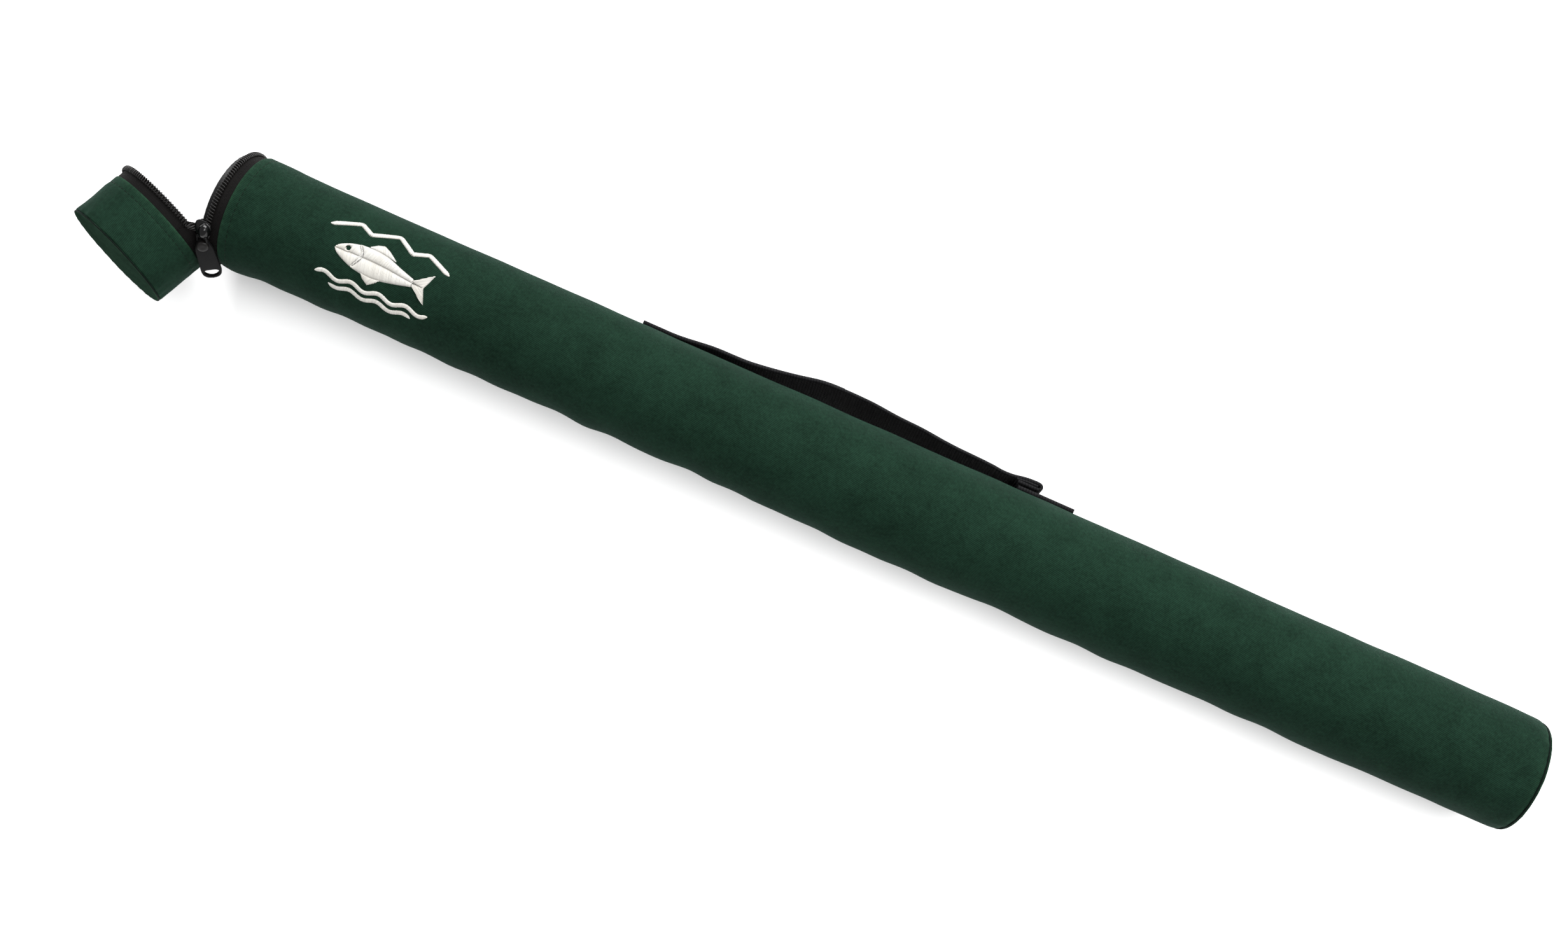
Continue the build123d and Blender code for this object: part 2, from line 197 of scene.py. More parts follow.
def ripple(seed, waves, lengths, turns):
    """Smooth random surface over length and angle, about 1 high; turns is the most waves round."""
    draw = np.random.default_rng(seed)
    rate = 2 * math.pi / draw.uniform(*lengths, waves)
    around = draw.integers(-turns, turns + 1, waves)
    phase = draw.uniform(0, 2 * math.pi, waves)
    weight = draw.uniform(0.5, 1.0, waves)
    weight = weight / math.sqrt((weight ** 2).sum() / 2)

    def height(x, angle):
        angle = np.radians(np.asarray(angle, float))
        x, angle = np.broadcast_arrays(np.asarray(x, float), angle)
        total = np.zeros(x.shape)
        for i in range(waves):
            total += weight[i] * np.cos(rate[i] * x + around[i] * angle + phase[i])
        return total
    return height


# ------------------------------------------------------------------ meshes
def make(name, points, faces, mat, uvs=None, tone=None, wear=None, recalc=False):
    """Smooth-shaded object. uvs: one pair per face corner; tone, wear: one value per vertex."""
    mesh = bpy.data.meshes.new(name)
    mesh.from_pydata((np.asarray(points, float) / 1000.0).tolist(), [], faces)
    mesh.validate(clean_customdata=False)
    if uvs is not None:
        layer = mesh.uv_layers.new(name="weave")
        layer.data.foreach_set("uv", np.asarray(uvs, np.float32).ravel())
    for key, values in (("tone", tone), ("wear", wear)):
        if values is not None:
            attribute = mesh.attributes.new(key, "FLOAT", "POINT")
            attribute.data.foreach_set("value", np.asarray(values, np.float32).ravel())
    if recalc:
        work = bmesh.new()
        work.from_mesh(mesh)
        bmesh.ops.recalc_face_normals(work, faces=work.faces)
        work.to_mesh(mesh)
        work.free()
    mesh.polygons.foreach_set("use_smooth", np.ones(len(mesh.polygons), bool))
    mesh.update()
    piece = bpy.data.objects.new(name, mesh)
    bpy.context.collection.objects.link(piece)
    mesh.materials.append(mat)
    return piece


def quads(rows, cols, uv, wrap_rows=False, wrap_cols=False):
    """Faces and corner UVs of a rows x cols grid; uv has one more entry where the grid wraps."""
    i, j = np.meshgrid(np.arange(rows if wrap_rows else rows - 1),
                       np.arange(cols if wrap_cols else cols - 1), indexing="ij")
    i, j = i.ravel(), j.ravel()
    next_i, next_j = (i + 1) % rows, (j + 1) % cols
    faces = np.stack([i * cols + j, next_i * cols + j, next_i * cols + next_j,
                      i * cols + next_j], 1)
    corners = np.stack([uv[i, j], uv[i + 1, j], uv[i + 1, j + 1], uv[i, j + 1]], 1)
    return faces.tolist(), corners.reshape(-1, 2).tolist()


def grid(name, points, uv, mat, wrap_rows=False, wrap_cols=False, caps=False, wear=None):
    """Surface over points (rows, cols, 3); caps closes the first and last columns."""
    rows, cols = points.shape[:2]
    faces, corners = quads(rows, cols, uv, wrap_rows, wrap_cols)
    if caps:
        for j in (0, cols - 1):
            faces.append([k * cols + j for k in range(rows)])
            corners += [list(uv[k, j]) for k in range(rows)]
    if wear is not None:
        wear = np.broadcast_to(wear, (rows, cols)).ravel()
    return make(name, points.reshape(-1, 3), faces, mat, corners, wear=wear, recalc=True)


def uv_grid(rows, cols):
    return np.stack(np.meshgrid(rows, cols, indexing="ij"), -1)


def tube_uv(lengths, angles):
    """Cloth UVs: length over the section, then length round the sleeve."""
    return uv_grid(lengths, np.radians(angles) * RADIUS)


def carry_round(profile, angles):
    """x, angle and radius of every profile point at every angle."""
    x, angle = np.meshgrid(profile[:, 0], angles, indexing="ij")
    return x, angle, np.repeat(profile[:, 1][:, None], len(angles), 1)


def full_circle(count):
    return np.linspace(0, 360, count, endpoint=False)


def lathe(name, profile, mat, angles, relief, body="case", closed=True):
    """Closed profile of (x, radius[, wear]) carried round the tube; relief pushes it outward."""
    profile = np.array(profile, float)
    x, angle, radius = carry_round(profile, angles)
    points = posed(on_tube(x, angle, radius + relief(x, angle, radius)), body)
    uv = tube_uv(run_length(profile[:, :2], closed=True),
                 np.r_[angles, 360.0] if closed else angles)
    wear = profile[:, 2:3] if profile.shape[1] > 2 else None
    return grid(name, points, uv, mat, wrap_rows=True, wrap_cols=closed, caps=not closed,
                wear=wear)


class Threads:
    """Many small tubes gathered into one mesh."""
    SIDES = 6

    def __init__(self):
        self.points, self.faces, self.uvs, self.tones = [], [], [], []

    def add(self, path, radius, tone, up=None, flat=1.0):
        """up: outward direction at each point; flat: height of the section over its width."""
        sides = self.SIDES
        first = len(self.tones)
        path = np.asarray(path, float)
        count = len(path)
        radius = np.broadcast_to(np.asarray(radius, float), (count,))
        tangent, across, rise = frames(path)
        if up is not None:
            rise = up - tangent * (up * tangent).sum(1, keepdims=True)
            rise /= np.maximum(np.linalg.norm(rise, axis=1, keepdims=True), 1e-9)
            across = np.cross(rise, tangent)
        phase = np.linspace(0, 2 * math.pi, sides, endpoint=False)[None, :, None]
        ring = np.cos(phase) * across[:, None] + flat * np.sin(phase) * rise[:, None]
        self.points.append((path[:, None] + ring * radius[:, None, None]).reshape(-1, 3))
        run = run_length(path)
        for i in range(count - 1):
            here, there = first + i * sides, first + (i + 1) * sides
            for j in range(sides):
                after = (j + 1) % sides
                self.faces.append([here + j, here + after, there + after, there + j])
                low, high = j / sides, (j + 1) / sides
                self.uvs += [[run[i], low], [run[i], high], [run[i + 1], high], [run[i + 1], low]]
        for end, order in ((0, range(sides - 1, -1, -1)), (count - 1, range(sides))):
            self.faces.append([first + end * sides + j for j in order])
            self.uvs += [[run[end], 0.5]] * sides
        self.tones += [tone] * (count * sides)

    def build(self, name, mat, slot, *replaced):
        piece = make(name, np.vstack(self.points), self.faces, mat, self.uvs, tone=self.tones)
        return fix(piece, "lid" if name == "stitches_lid" else "case", slot, *replaced)


def fix(piece, body, slot, *replaced):
    """Ties a piece to a moving body and hides the CAD nodes it stands for; slot is not used."""
    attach(piece, body)
    if replaced:
        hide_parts(*replaced)
    return piece


def blend(piece):
    """Bakes a piece's placement into its mesh."""
    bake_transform(piece)


# ------------------------------------------------------------------ shader building
KEY = 0.6       # scales every linked colour and every sheen, specular and coat amount


class Shader:
    """A material under construction, with one short method per node."""

    def __init__(self, name):
        self.material = bpy.data.materials.new(name)
        self.material.use_nodes = True
        self.tree = self.material.node_tree

    def put(self, socket, value):
        if isinstance(value, bpy.types.NodeSocket):
            self.tree.links.new(value, socket)
        elif value is not None:
            socket.default_value = value

    def new(self, kind, inputs, **props):
        node = self.tree.nodes.new(kind)
        for key, value in props.items():
            setattr(node, key, value)
        for key, value in inputs.items():
            self.put(node.inputs[key], value)
        return node

    def math(self, operation, first, second=None):
        return self.new("ShaderNodeMath", {0: first, 1: second}, operation=operation).outputs[0]

    def mul(self, value, by):
        return self.math("MULTIPLY", value, by)

    def add(self, first, second):
        return self.math("ADD", first, second)

    def scale(self, color, by):
        node = self.new("ShaderNodeVectorMath", {0: color, "Scale": by}, operation="SCALE")
        return node.outputs[0]

    def parts(self, vector):
        return self.new("ShaderNodeSeparateXYZ", {0: vector}).outputs

    def uv(self):
        """The weave map: u and v in millimetres of cloth or thread."""
        return self.parts(self.new("ShaderNodeUVMap", {}, uv_map="weave").outputs[0])[:2]

    def place(self):
        return self.new("ShaderNodeTexCoord", {}).outputs["Object"]

    def noise(self, scale, detail=3.0, roughness=0.55, vector=None, distortion=0.0):
        node = self.new("ShaderNodeTexNoise", {
            "Scale": scale, "Detail": detail, "Roughness": roughness, "Distortion": distortion,
            "Vector": self.place() if vector is None else vector})
        return node.outputs[0]

    def voronoi(self, feature, scale):
        return self.new("ShaderNodeTexVoronoi", {"Scale": scale, "Vector": self.place()},
                        feature=feature).outputs

    def remap(self, value, source, target=(0, 1)):
        node = self.new("ShaderNodeMapRange", {
            "Value": value, "From Min": source[0], "From Max": source[1],
            "To Min": target[0], "To Max": target[1]})
        return node.outputs[0]

    def attribute(self, name):
        return self.new("ShaderNodeAttribute", {}, attribute_name=name,
                        attribute_type="GEOMETRY").outputs["Fac"]

    def mix(self, share, start, end):
        node = self.new("ShaderNodeMix", {"Factor": share, "A": start, "B": end},
                        data_type="RGBA")
        return node.outputs["Result"]

    def bump(self, height, strength, distance, normal=None):
        node = self.new("ShaderNodeBump", {"Strength": strength, "Distance": distance,
                                           "Height": height, "Normal": normal})
        return node.outputs[0]

    def out(self, color, roughness, normal=None, **other):
        """Fills the surface node; other names its inputs, with _ for a space."""
        if isinstance(color, bpy.types.NodeSocket):
            color = self.scale(color, by=KEY)
        for key in ("Sheen_Weight", "Specular_IOR_Level", "Coat_Weight"):
            if key in other:
                other[key] *= KEY
        surface = self.tree.nodes["Principled BSDF"].inputs
        self.put(surface["Base Color"], color)
        self.put(surface["Roughness"], roughness)
        self.put(surface["Normal"], normal)
        for key, value in other.items():
            self.put(surface[key.replace("_", " ")], value)
        return self.material


def scaled(color, by):
    return (*(min(channel * by, 1) for channel in color[:3]), 1.0)


def tinted(color, *factors):
    return [channel * factor for channel, factor in zip(color, factors)]


# ------------------------------------------------------------------ materials
def woven(name, base, pitch, mottle, sheen, twill=1.0, light=1.55, tint=(0.5, 0.95, 0.8, 1),
          specular=0.08, lint=False):
    """Woven cloth: slanted ribs (twill is their slant) a pitch apart, colour that wanders by
    mottle, rubbed edges and, with lint, a few pale specks."""
    g = Shader(name)
    u, v = g.uv()
    u = g.add(u, g.mul(g.noise(scale=900.0, detail=2.0), by=0.16 * pitch))
    rate = 2 * math.pi / pitch
    ribs = g.math("SINE", g.mul(g.add(g.mul(u, by=twill), v), by=rate))
    across = g.math("SINE", g.mul(u, by=rate * 2.0))
    along = g.math("SINE", g.mul(v, by=rate * 2.0))
    # ribs and thread crossings about a middle height of 0.5, then fuzz
    height = g.add(g.mul(ribs, by=0.32), g.add(g.mul(g.mul(across, along), by=0.16), 0.5))
    fuzz = g.noise(scale=5200.0, detail=2.0, roughness=0.7)
    height = g.add(height, g.mul(fuzz, by=0.35))
    broad = g.noise(scale=9.0, detail=4.0, roughness=0.6)
    middle = g.noise(scale=85.0, detail=4.0, roughness=0.62)
    small = g.noise(scale=620.0, detail=3.0, roughness=0.6)
    shade = g.add(g.mul(broad, by=0.25), g.add(g.mul(middle, by=0.30), g.mul(small, by=0.45)))
    shade = g.remap(shade, source=(0.36, 0.64), target=(1 - mottle, 1 + mottle))
    color = g.mix(g.remap(height, source=(0.15, 1.05)), scaled(base, by=0.55),
                  scaled(base, by=light))
    patchy = g.remap(middle, source=(0.3, 0.7), target=(0.5, 1.25))
    worn = g.remap(g.mul(g.attribute("wear"), by=patchy), source=(0, 1))
    rubbed = [0.85 * base[0] + 0.0015, base[1], 0.9 * base[2]]      # slightly warmer than base
    color = g.mix(worn, color, scaled(rubbed, by=light * 1.35))
    color = g.scale(color, by=shade)
    if lint:
        cells = g.voronoi("F1", scale=42.0)
        pick = g.new("ShaderNodeSeparateColor", {0: cells["Color"]}).outputs[0]
        size, rarity = 0.018, 0.93          # speck radius in cells; share of cells left clean
        speck = g.mul(g.math("LESS_THAN", cells["Distance"], size),
                      by=g.math("GREATER_THAN", pick, rarity))
        color = g.mix(g.mul(speck, by=0.7), color, (0.5, 0.52, 0.5, 1))
    normal = g.bump(g.add(height, g.mul(middle, by=0.8)), strength=0.75, distance=0.00016)
    normal = g.bump(g.noise(scale=260.0), strength=0.22, distance=0.0006, normal=normal)
    roughness = g.remap(height, source=(0.2, 1.0), target=(0.84, 0.66))
    return g.out(color, roughness, normal, Sheen_Weight=sheen, Sheen_Roughness=0.32,
                 Sheen_Tint=tint, Specular_IOR_Level=specular)


def ribbed_webbing(rib=1.62, column=1.25):
    """Webbing with ribs across it, staggered from one column to the next."""
    g = Shader("ribbed_webbing")
    u, v = g.uv()
    u = g.add(u, g.mul(g.noise(scale=500.0, detail=2.0), by=0.12))
    odd = g.math("MODULO", g.math("FLOOR", g.math("DIVIDE", v, column)), 2.0)
    staggered = g.add(u, g.mul(odd, by=0.28))
    ribs = g.math("ABSOLUTE", g.math("SINE", g.mul(staggered, by=math.pi / rib)))
    columns = g.math("ABSOLUTE", g.math("SINE", g.mul(v, by=math.pi / column)))
    # powers below 1 round the tops; ribs stand higher than columns
    height = g.add(g.mul(g.math("POWER", ribs, 0.6), by=0.8),
                   g.mul(g.math("POWER", columns, 0.7), by=0.2))
    fuzz = g.noise(scale=4200.0, detail=2.0, roughness=0.7)
    middle = g.noise(scale=120.0)
    height = g.add(height, g.mul(fuzz, by=0.22))
    color = g.mix(g.remap(height, source=(0.25, 1.15)),
                  (0.0004, 0.0004, 0.0006, 1), (0.0095, 0.0095, 0.0110, 1))
    patchy = g.remap(middle, source=(0.35, 0.65), target=(0.2, 0.8))
    color = g.mix(g.mul(g.attribute("wear"), by=patchy), color, (0.016, 0.016, 0.0175, 1))
    return g.out(color, g.remap(height, source=(0.2, 1.1), target=(0.75, 0.5)),
                 g.bump(height, strength=0.9, distance=0.00035), Sheen_Weight=0.03,
                 Sheen_Roughness=0.4, Specular_IOR_Level=0.12)


def plastic(name, base, roughness, grain, depth, lines=0.0, specular=0.5, coat=0.0):
    """Plastic or enamel: grain of this noise scale and bump depth, smudges in the gloss, rubbed
    spots and, with lines, fine drawn lines along X."""
    g = Shader(name)
    smudge = g.noise(scale=38.0, detail=4.0, roughness=0.6)
    height = g.noise(scale=grain, roughness=0.6)
    color = g.mix(g.remap(smudge, source=(0.3, 0.7)), scaled(base, by=0.75), scaled(base, by=1.3))
    if lines:
        x, y, z = g.parts(g.place())
        stretched = g.new("ShaderNodeCombineXYZ", {0: g.mul(x, by=0.02), 1: y, 2: z}).outputs[0]
        drawn = g.noise(scale=lines, detail=2.0, roughness=0.5, vector=stretched)
        height = g.add(g.mul(height, by=0.4), drawn)
    scratches = g.noise(scale=70.0, detail=5.0, roughness=0.7, distortion=1.2)
    worn = g.remap(scratches, source=(0.66, 0.74), target=(0.0, 0.35))
    color = g.mix(worn, color, scaled([channel + 0.008 for channel in base], by=1.4))
    gloss = g.remap(smudge, source=(0.3, 0.7), target=(roughness - 0.07, roughness + 0.1))
    return g.out(color, gloss, g.bump(height, strength=0.5, distance=depth),
                 Specular_IOR_Level=specular, Coat_Weight=coat, Coat_Roughness=0.12)


def closed_cell_foam():
    g = Shader("closed_cell_foam")
    cells = g.voronoi("DISTANCE_TO_EDGE", scale=900.0)
    broad = g.noise(scale=60.0, detail=4.0)
    wall = g.remap(cells["Distance"], source=(0.0, 0.25))
    color = g.mix(wall, (0.012, 0.012, 0.013, 1), (0.034, 0.034, 0.036, 1))
    color = g.mix(g.remap(broad, source=(0.35, 0.65), target=(0, 0.4)), color,
                  (0.05, 0.05, 0.052, 1))
    return g.out(color, 0.88, g.bump(g.add(wall, broad), strength=0.6, distance=0.0003),
                 Specular_IOR_Level=0.2, Sheen_Weight=0.15)


def twisted_thread(name, base, roughness, wander, sheen=0.05, specular=0.12):
    """Thread with fine slanted plies; the tone attribute sets each stitch a shade apart."""
    g = Shader(name)
    u, v = g.uv()
    ply_pitch = 0.55
    plies = g.math("SINE", g.add(g.mul(u, by=2 * math.pi / ply_pitch), g.mul(v, by=4 * math.pi)))
    broad = g.noise(scale=60.0)
    color = g.mix(g.remap(plies, source=(-1, 1)), scaled(base, by=0.80), scaled(base, by=1.06))
    color = g.mix(g.remap(broad, source=(0.35, 0.7), target=(0, wander)), color,
                  scaled(tinted(base, 1, 0.94, 0.82), by=0.8))
    return g.out(g.scale(color, by=g.attribute("tone")), roughness,
                 g.bump(plies, strength=0.5, distance=0.00008), Sheen_Weight=sheen,
                 Sheen_Roughness=0.3, Specular_IOR_Level=specular)


def fibre_board():
    g = Shader("fibre_board")
    fibres = g.noise(scale=420.0, detail=5.0, roughness=0.7)
    color = g.mix(fibres, (0.02, 0.018, 0.016, 1), (0.05, 0.044, 0.038, 1))
    height = g.add(fibres, g.noise(scale=90.0))
    return g.out(color, 0.85, g.bump(height, strength=0.5, distance=0.0002))


GREEN = [0.0074, 0.0224, 0.0135]
TWILL = dict(pitch=0.9, twill=0.16, mottle=0.36, lint=True)
sleeve_cloth = woven("green_twill", GREEN, sheen=0.07, specular=0.03, **TWILL)
# painted reflection: the lid's end panel is the green cloth made lighter and greyer, with no sheen
# or specular, so its base colour carries the grey grazing reflection and the light on it
panel_cloth_painted_reflection = woven("green_twill_end", tinted(GREEN, 2.28, 1.6, 1.78), sheen=0.0, specular=0.0,
                    **TWILL)
# painted light: the lid's cloth is the sleeve's green made a little lighter, so the lid looks as
# if it caught more light
lid_cloth_painted_light = woven("green_twill_lid", tinted(GREEN, 1.1, 1.07, 1.08), sheen=0.07, specular=0.03,
                  **TWILL)
# painted shade: the piping cord is real, but its colour is made much darker than the cloth to
# paint the shade in the groove of each end seam
cord_cloth_painted_shade = woven("piping_cord", [0.0025, 0.0065, 0.0043], pitch=0.7, mottle=0.1, sheen=0.05)
tape_cloth = woven("zip_tape_weave", [0.0060, 0.0054, 0.0053], pitch=0.75, mottle=0.18,
                   sheen=0.03, light=1.7, tint=(0.7, 0.65, 0.6, 1))
webbing = ribbed_webbing()
nylon = plastic("nylon_coil", [0.0080, 0.0072, 0.0068], roughness=0.36, grain=2200.0,
                depth=0.00003, specular=0.4)
enamel = plastic("gloss_enamel", [0.0030, 0.0030, 0.0033], roughness=0.13, grain=1600.0,
                 depth=0.00002, specular=0.45, coat=0.2)
tab_plastic = plastic("moulded_tab", [0.0065, 0.0065, 0.0068], roughness=0.5, grain=3600.0,
                      depth=0.00006, specular=0.2)
tube_plastic = plastic("extruded_tube", [0.0070, 0.0070, 0.0075], roughness=0.4, grain=1500.0,
                       depth=0.00006, lines=900.0, specular=0.4)
foam = closed_cell_foam()
board = fibre_board()
ivory_thread = twisted_thread("ivory_thread", [0.86, 0.845, 0.80], roughness=0.42, wander=0.40,
                              sheen=0.2, specular=0.4)
green_thread = twisted_thread("green_thread", [0.0050, 0.0145, 0.0090], roughness=0.55,
                              wander=0.3)
black_thread = twisted_thread("black_thread", [0.007, 0.007, 0.0075], roughness=0.5, wander=0.3)

# CAD pieces that keep their own shape
DRESS = ((tube_plastic, ("inner_tube", "end_plug", "lid_ring")),
         (board, ("lid_board",)),
         (enamel, ("zip_slider", "slider_bail", "zip_start_stop", "zip_end_stop")),
         (tab_plastic, ("pull_link", "zip_pull")))
for material, node_names in DRESS:
    for node_name in node_names:
        slots = frame["nodes"][node_name].data.materials
        slots.clear()
        slots.append(material)

# ------------------------------------------------------------------ sleeve
long_folds = ripple(seed=3, waves=9, lengths=(90, 260), turns=4)
short_folds = ripple(seed=4, waves=16, lengths=(26, 70), turns=9)
side_folds = ripple(seed=5, waves=9, lengths=(24, 62), turns=1)
mouth_gathers = ripple(seed=6, waves=10, lengths=(400, 900), turns=34)
end_gathers = ripple(seed=9, waves=10, lengths=(400, 900), turns=34)

# how the sleeve hangs along its -Y side: (distance from the zip plane, push outward)
SAG = catmull([
    (8, 0), (14, 0.9), (22, 0.3), (32, -0.7), (45, -1.1), (60, -1.3), (78, -1.35), (92, -1.0),
    (110, -1.3), (125, -1.2), (140, -0.1), (170, -0.5), (215, -0.6), (230, -0.3), (245, -1.0),
    (262, -0.3), (280, -0.7), (292, -1.3), (306, -0.3), (320, 0.1), (340, 0.4), (366, 0.7),
    (396, 1.1), (426, 1.2), (441, 1.1), (460, 0.3), (475, -0.2), (500, 0.6), (530, 0.8),
    (560, 0.6), (590, 0.1), (620, 0), (650, 0.6), (675, 0.1), (700, 0), (720, -0.5), (735, 0),
    (748, -0.5), (764, 0)], 6)

# turned-in hem at the mouth: (distance from the edge, radius, wear)
SLEEVE_HEM = [
    (9, 30.62, 0), (5.2, 30.62, 0), (4.8, 31.4, 0), (2, 31.62, 0), (0.35, 31.64, 0.5),
    (0.02, 31.78, 0.9), (0.05, 32.0, 1), (0.4, 32.14, 0.7), (1.2, 32.16, 0.3),
    (2.6, 32.12, 0.1), (3.8, 32.08, 0.1), (4.5, 32.02, 0.15), (4.9, 31.94, 0.2),
    (5.3, 32.02, 0.15), (6.0, 32.08, 0.05), (8.0, 32.06, 0)]
# far end: (distance from the end seam, radius, wear); the last four points are the lining
SLEEVE_END = [
    (-13, 32.0, 0), (-11, 32.0, 0), (-9, 32.0, 0), (-7.5, 32.0, 0), (-6.2, 32.0, 0.03),
    (-5.0, 32.0, 0.05), (-4.0, 32.0, 0.1), (-3.1, 32.0, 0.15), (-2.3, 31.98, 0.25),
    (-1.6, 31.94, 0.3), (-1.0, 31.86, 0.3), (-0.5, 31.72, 0.2), (-0.1, 31.45, 0),
    (0.1, 31.25, 0), (-0.4, 28.0, 0), (-3, 27.9, 0), (-7, 29.6, 0), (-12, 30.62, 0)]


def side_of(angle, centre, width):
    """Bell of height 1 round the angle centre."""
    offset = (np.asarray(angle) - centre + 180) % 360 - 180
    return np.exp(-(offset / width) ** 2)


def from_fell(angle):
    return np.abs((np.asarray(angle) - FELL_ANGLE) / FELL_HALF)


def fell_ridge(angle):
    return 0.34 * smooth((1.12 - from_fell(angle)) / 0.24)


def sleeve_relief(x, angle, radius):
    """Outward push on the sleeve's outer cloth."""
    from_zip_x = x - ZIP_X
    middle = smooth((x - (MOUTH_X + 5)) / 14.0) * smooth((END_X - 2 - x) / 12.0)
    push = middle * (0.10 * long_folds(x, angle) + 0.085 * short_folds(x, angle))
    push = push + middle * side_of(angle, -14, 34) * (0.27 * side_folds(x, angle) + 0.06)
    push = push + side_of(angle, -14, 40) * np.interp(from_zip_x, SAG[:, 0], SAG[:, 1])
    # a swell beside the mouth on the +Y side
    swell = 0.9 * smooth((from_zip_x - 7) / 3) * (1 - smooth((from_zip_x - 17) / 16))
    push = push + side_of(angle, 168, 45) * (0.25 * middle + swell)
    push = np.maximum(push, -1.35)
    # gathers along the two seams
    push = push + (0.11 * mouth_gathers(x, angle)
                   * np.exp(-np.abs(x - (MOUTH_X + 5)) / 3.2))
    push = push + (0.13 * end_gathers(x, angle) * np.exp(-np.abs(x - END_X) / 4.0)
                   * (x < END_X + 3))
    # roll over the far end: part of a quarter circle, longer on the -Y side
    roll = END_ROLL * (1.0 + 0.85 * side_of(angle, -12, 60))
    share = np.clip((x - (END_X - roll)) / roll, 0, 1)
    arc = 0.93
    push = push - ((1 - np.sqrt(np.maximum(1 - (arc * share) ** 2, 0)))
                   / (1 - math.sqrt(1 - arc ** 2)) * END_DROP)
    # felled seam, with a groove along each row of stitches
    push = push + fell_ridge(angle) * (x > MOUTH_X + 2) * (x < END_X - 1.2)
    push = push - 0.10 * np.exp(-((from_fell(angle) - 0.62) / 0.16) ** 2)
    return np.where(radius > OUTER_R, push, 0.0)


def build_sleeve():
    profile = [(MOUTH_X + offset, radius, wear) for offset, radius, wear in SLEEVE_HEM]
    profile += [(x, RADIUS, 0) for x in spread(MOUTH_X + 11, END_X - 15, 3.4)]
    profile += [(END_X + offset, radius, wear) for offset, radius, wear in SLEEVE_END]
    piece = lathe("sleeve_body", profile, sleeve_cloth, full_circle(224), sleeve_relief)
    fix(piece, "case", "fabric_green", "body_cover", "body_seam")


# rim of an end panel: (radius from the rim, distance outward, wear)
PANEL_RIM = [(-1.1, -0.04, 0.2), (-0.65, -0.12, 0.5), (-0.28, -0.32, 0.8), (-0.06, -0.62, 0.8),
             (-0.10, -0.95, 0.4), (-0.5, -1.25, 0.1), (-1.2, -1.4, 0)]


def build_panel(name, mat, x, outward, bulge, seed, rim, body, node):
    """End panel facing outward (+1 or -1 in X): a soft crown pulled down to the seam."""
    profile = [(x + outward * bulge * (1 - share ** 2.4), share * (rim - 1.5), 0)
               for share in np.linspace(0, 1, 15)]
    profile += [(x + outward * offset, rim + from_rim, wear)
                for from_rim, offset, wear in PANEL_RIM]
    profile += [(x - outward * 1.4, share * (rim - 1.2), 0) for share in (0.9, 0.6, 0.3, 0)]
    profile = np.array(profile, float)
    x, angle, radius = carry_round(profile, full_circle(128))
    radius = np.maximum(radius, 0.02)
    crown = ripple(seed=seed, waves=7, lengths=(60, 160), turns=3)
    edge = np.exp(-(rim - radius) / 3.5)
    x = x + outward * (0.10 * crown(radius, angle) * (1 - edge) * (radius / rim)
                       + 0.10 * mouth_gathers(0, angle) * edge * (radius < rim - 0.4))
    points = on_tube(x, angle, radius)
    uv = points[..., 1:]
    uv = np.concatenate([uv, uv[:, :1]], 1)
    piece = grid(name, posed(points, body), uv, mat, wrap_cols=True, wear=profile[:, 2:3])
    fix(piece, body, "fabric_green", node)


def build_cord(name, x, radius, thickness, body, node):
    """Twisted piping cord round an end seam; thickness is its own radius."""
    angles = full_circle(240)
    angle, phase = np.meshgrid(angles, np.linspace(0, 2 * math.pi, 8, endpoint=False),
                               indexing="ij")
    twisted = thickness * (1 + 0.06 * np.sin(np.radians(angle) * 70 + phase * 2))
    points = on_tube(x + twisted * np.cos(phase), angle, radius + twisted * np.sin(phase))
    uv = uv_grid(np.r_[np.radians(angles) * radius, 2 * math.pi * radius], np.arange(9) * 0.4)
    piece = grid(name, posed(points, body), uv, cord_cloth_painted_shade, wrap_rows=True, wrap_cols=True)
    fix(piece, body, "piping", node)


# ------------------------------------------------------------------ lid
lid_long_folds = ripple(seed=31, waves=8, lengths=(60, 140), turns=3)
lid_short_folds = ripple(seed=32, waves=14, lengths=(16, 40), turns=8)
lid_gathers = ripple(seed=33, waves=10, lengths=(400, 900), turns=34)

# turned-in hem: (distance from the edge away from the zip, radius, wear)
LID_HEM = [
    (9, 30.62, 0), (5.2, 30.62, 0), (4.8, 31.4, 0), (2, 31.62, 0), (0.35, 31.64, 0.5),
    (0.02, 31.78, 0.9), (0.05, 32.0, 1), (0.4, 32.16, 0.8), (1.2, 32.2, 0.4),
    (2.6, 32.14, 0.15), (3.9, 32.08, 0.1), (4.5, 31.98, 0.15), (4.9, 31.84, 0.2),
    (5.3, 31.98, 0.15), (6.0, 32.1, 0.05), (8.0, 32.12, 0)]
# end of the lid: (distance from the end seam towards the zip, radius, wear)
LID_END = [(3.2, 32.08, 0), (2.2, 32.06, 0.05), (1.5, 32.0, 0.15), (1.0, 31.88, 0.15),
           (0.65, 31.66, 0.05), (0.45, 31.3, 0), (0.5, 30.65, 0), (4, 30.6, 0)]


def lid_relief(x, angle, radius):
    """Outward push on the lid's outer cloth, laid out as the lid is when shut."""
    depth = ZIP_X - x
    middle = smooth((depth - 8) / 6) * smooth((LID_SEAM - 1 - depth) / 6)
    push = middle * (0.22 * lid_long_folds(x, angle) + 0.13 * lid_short_folds(x, angle))
    push = push + (0.12 * lid_gathers(x, angle)
                   * np.exp(-np.abs(depth - (LID_MOUTH + 5)) / 3.0))
    push = push + 0.22 * end_gathers(x, angle) * np.exp(-np.abs(depth - LID_SEAM) / 4.0)
    push = push + fell_ridge(angle) * (depth > LID_MOUTH + 1.5) * (depth < LID_SEAM - 1.2)
    return np.where(radius > OUTER_R, push, 0.0)


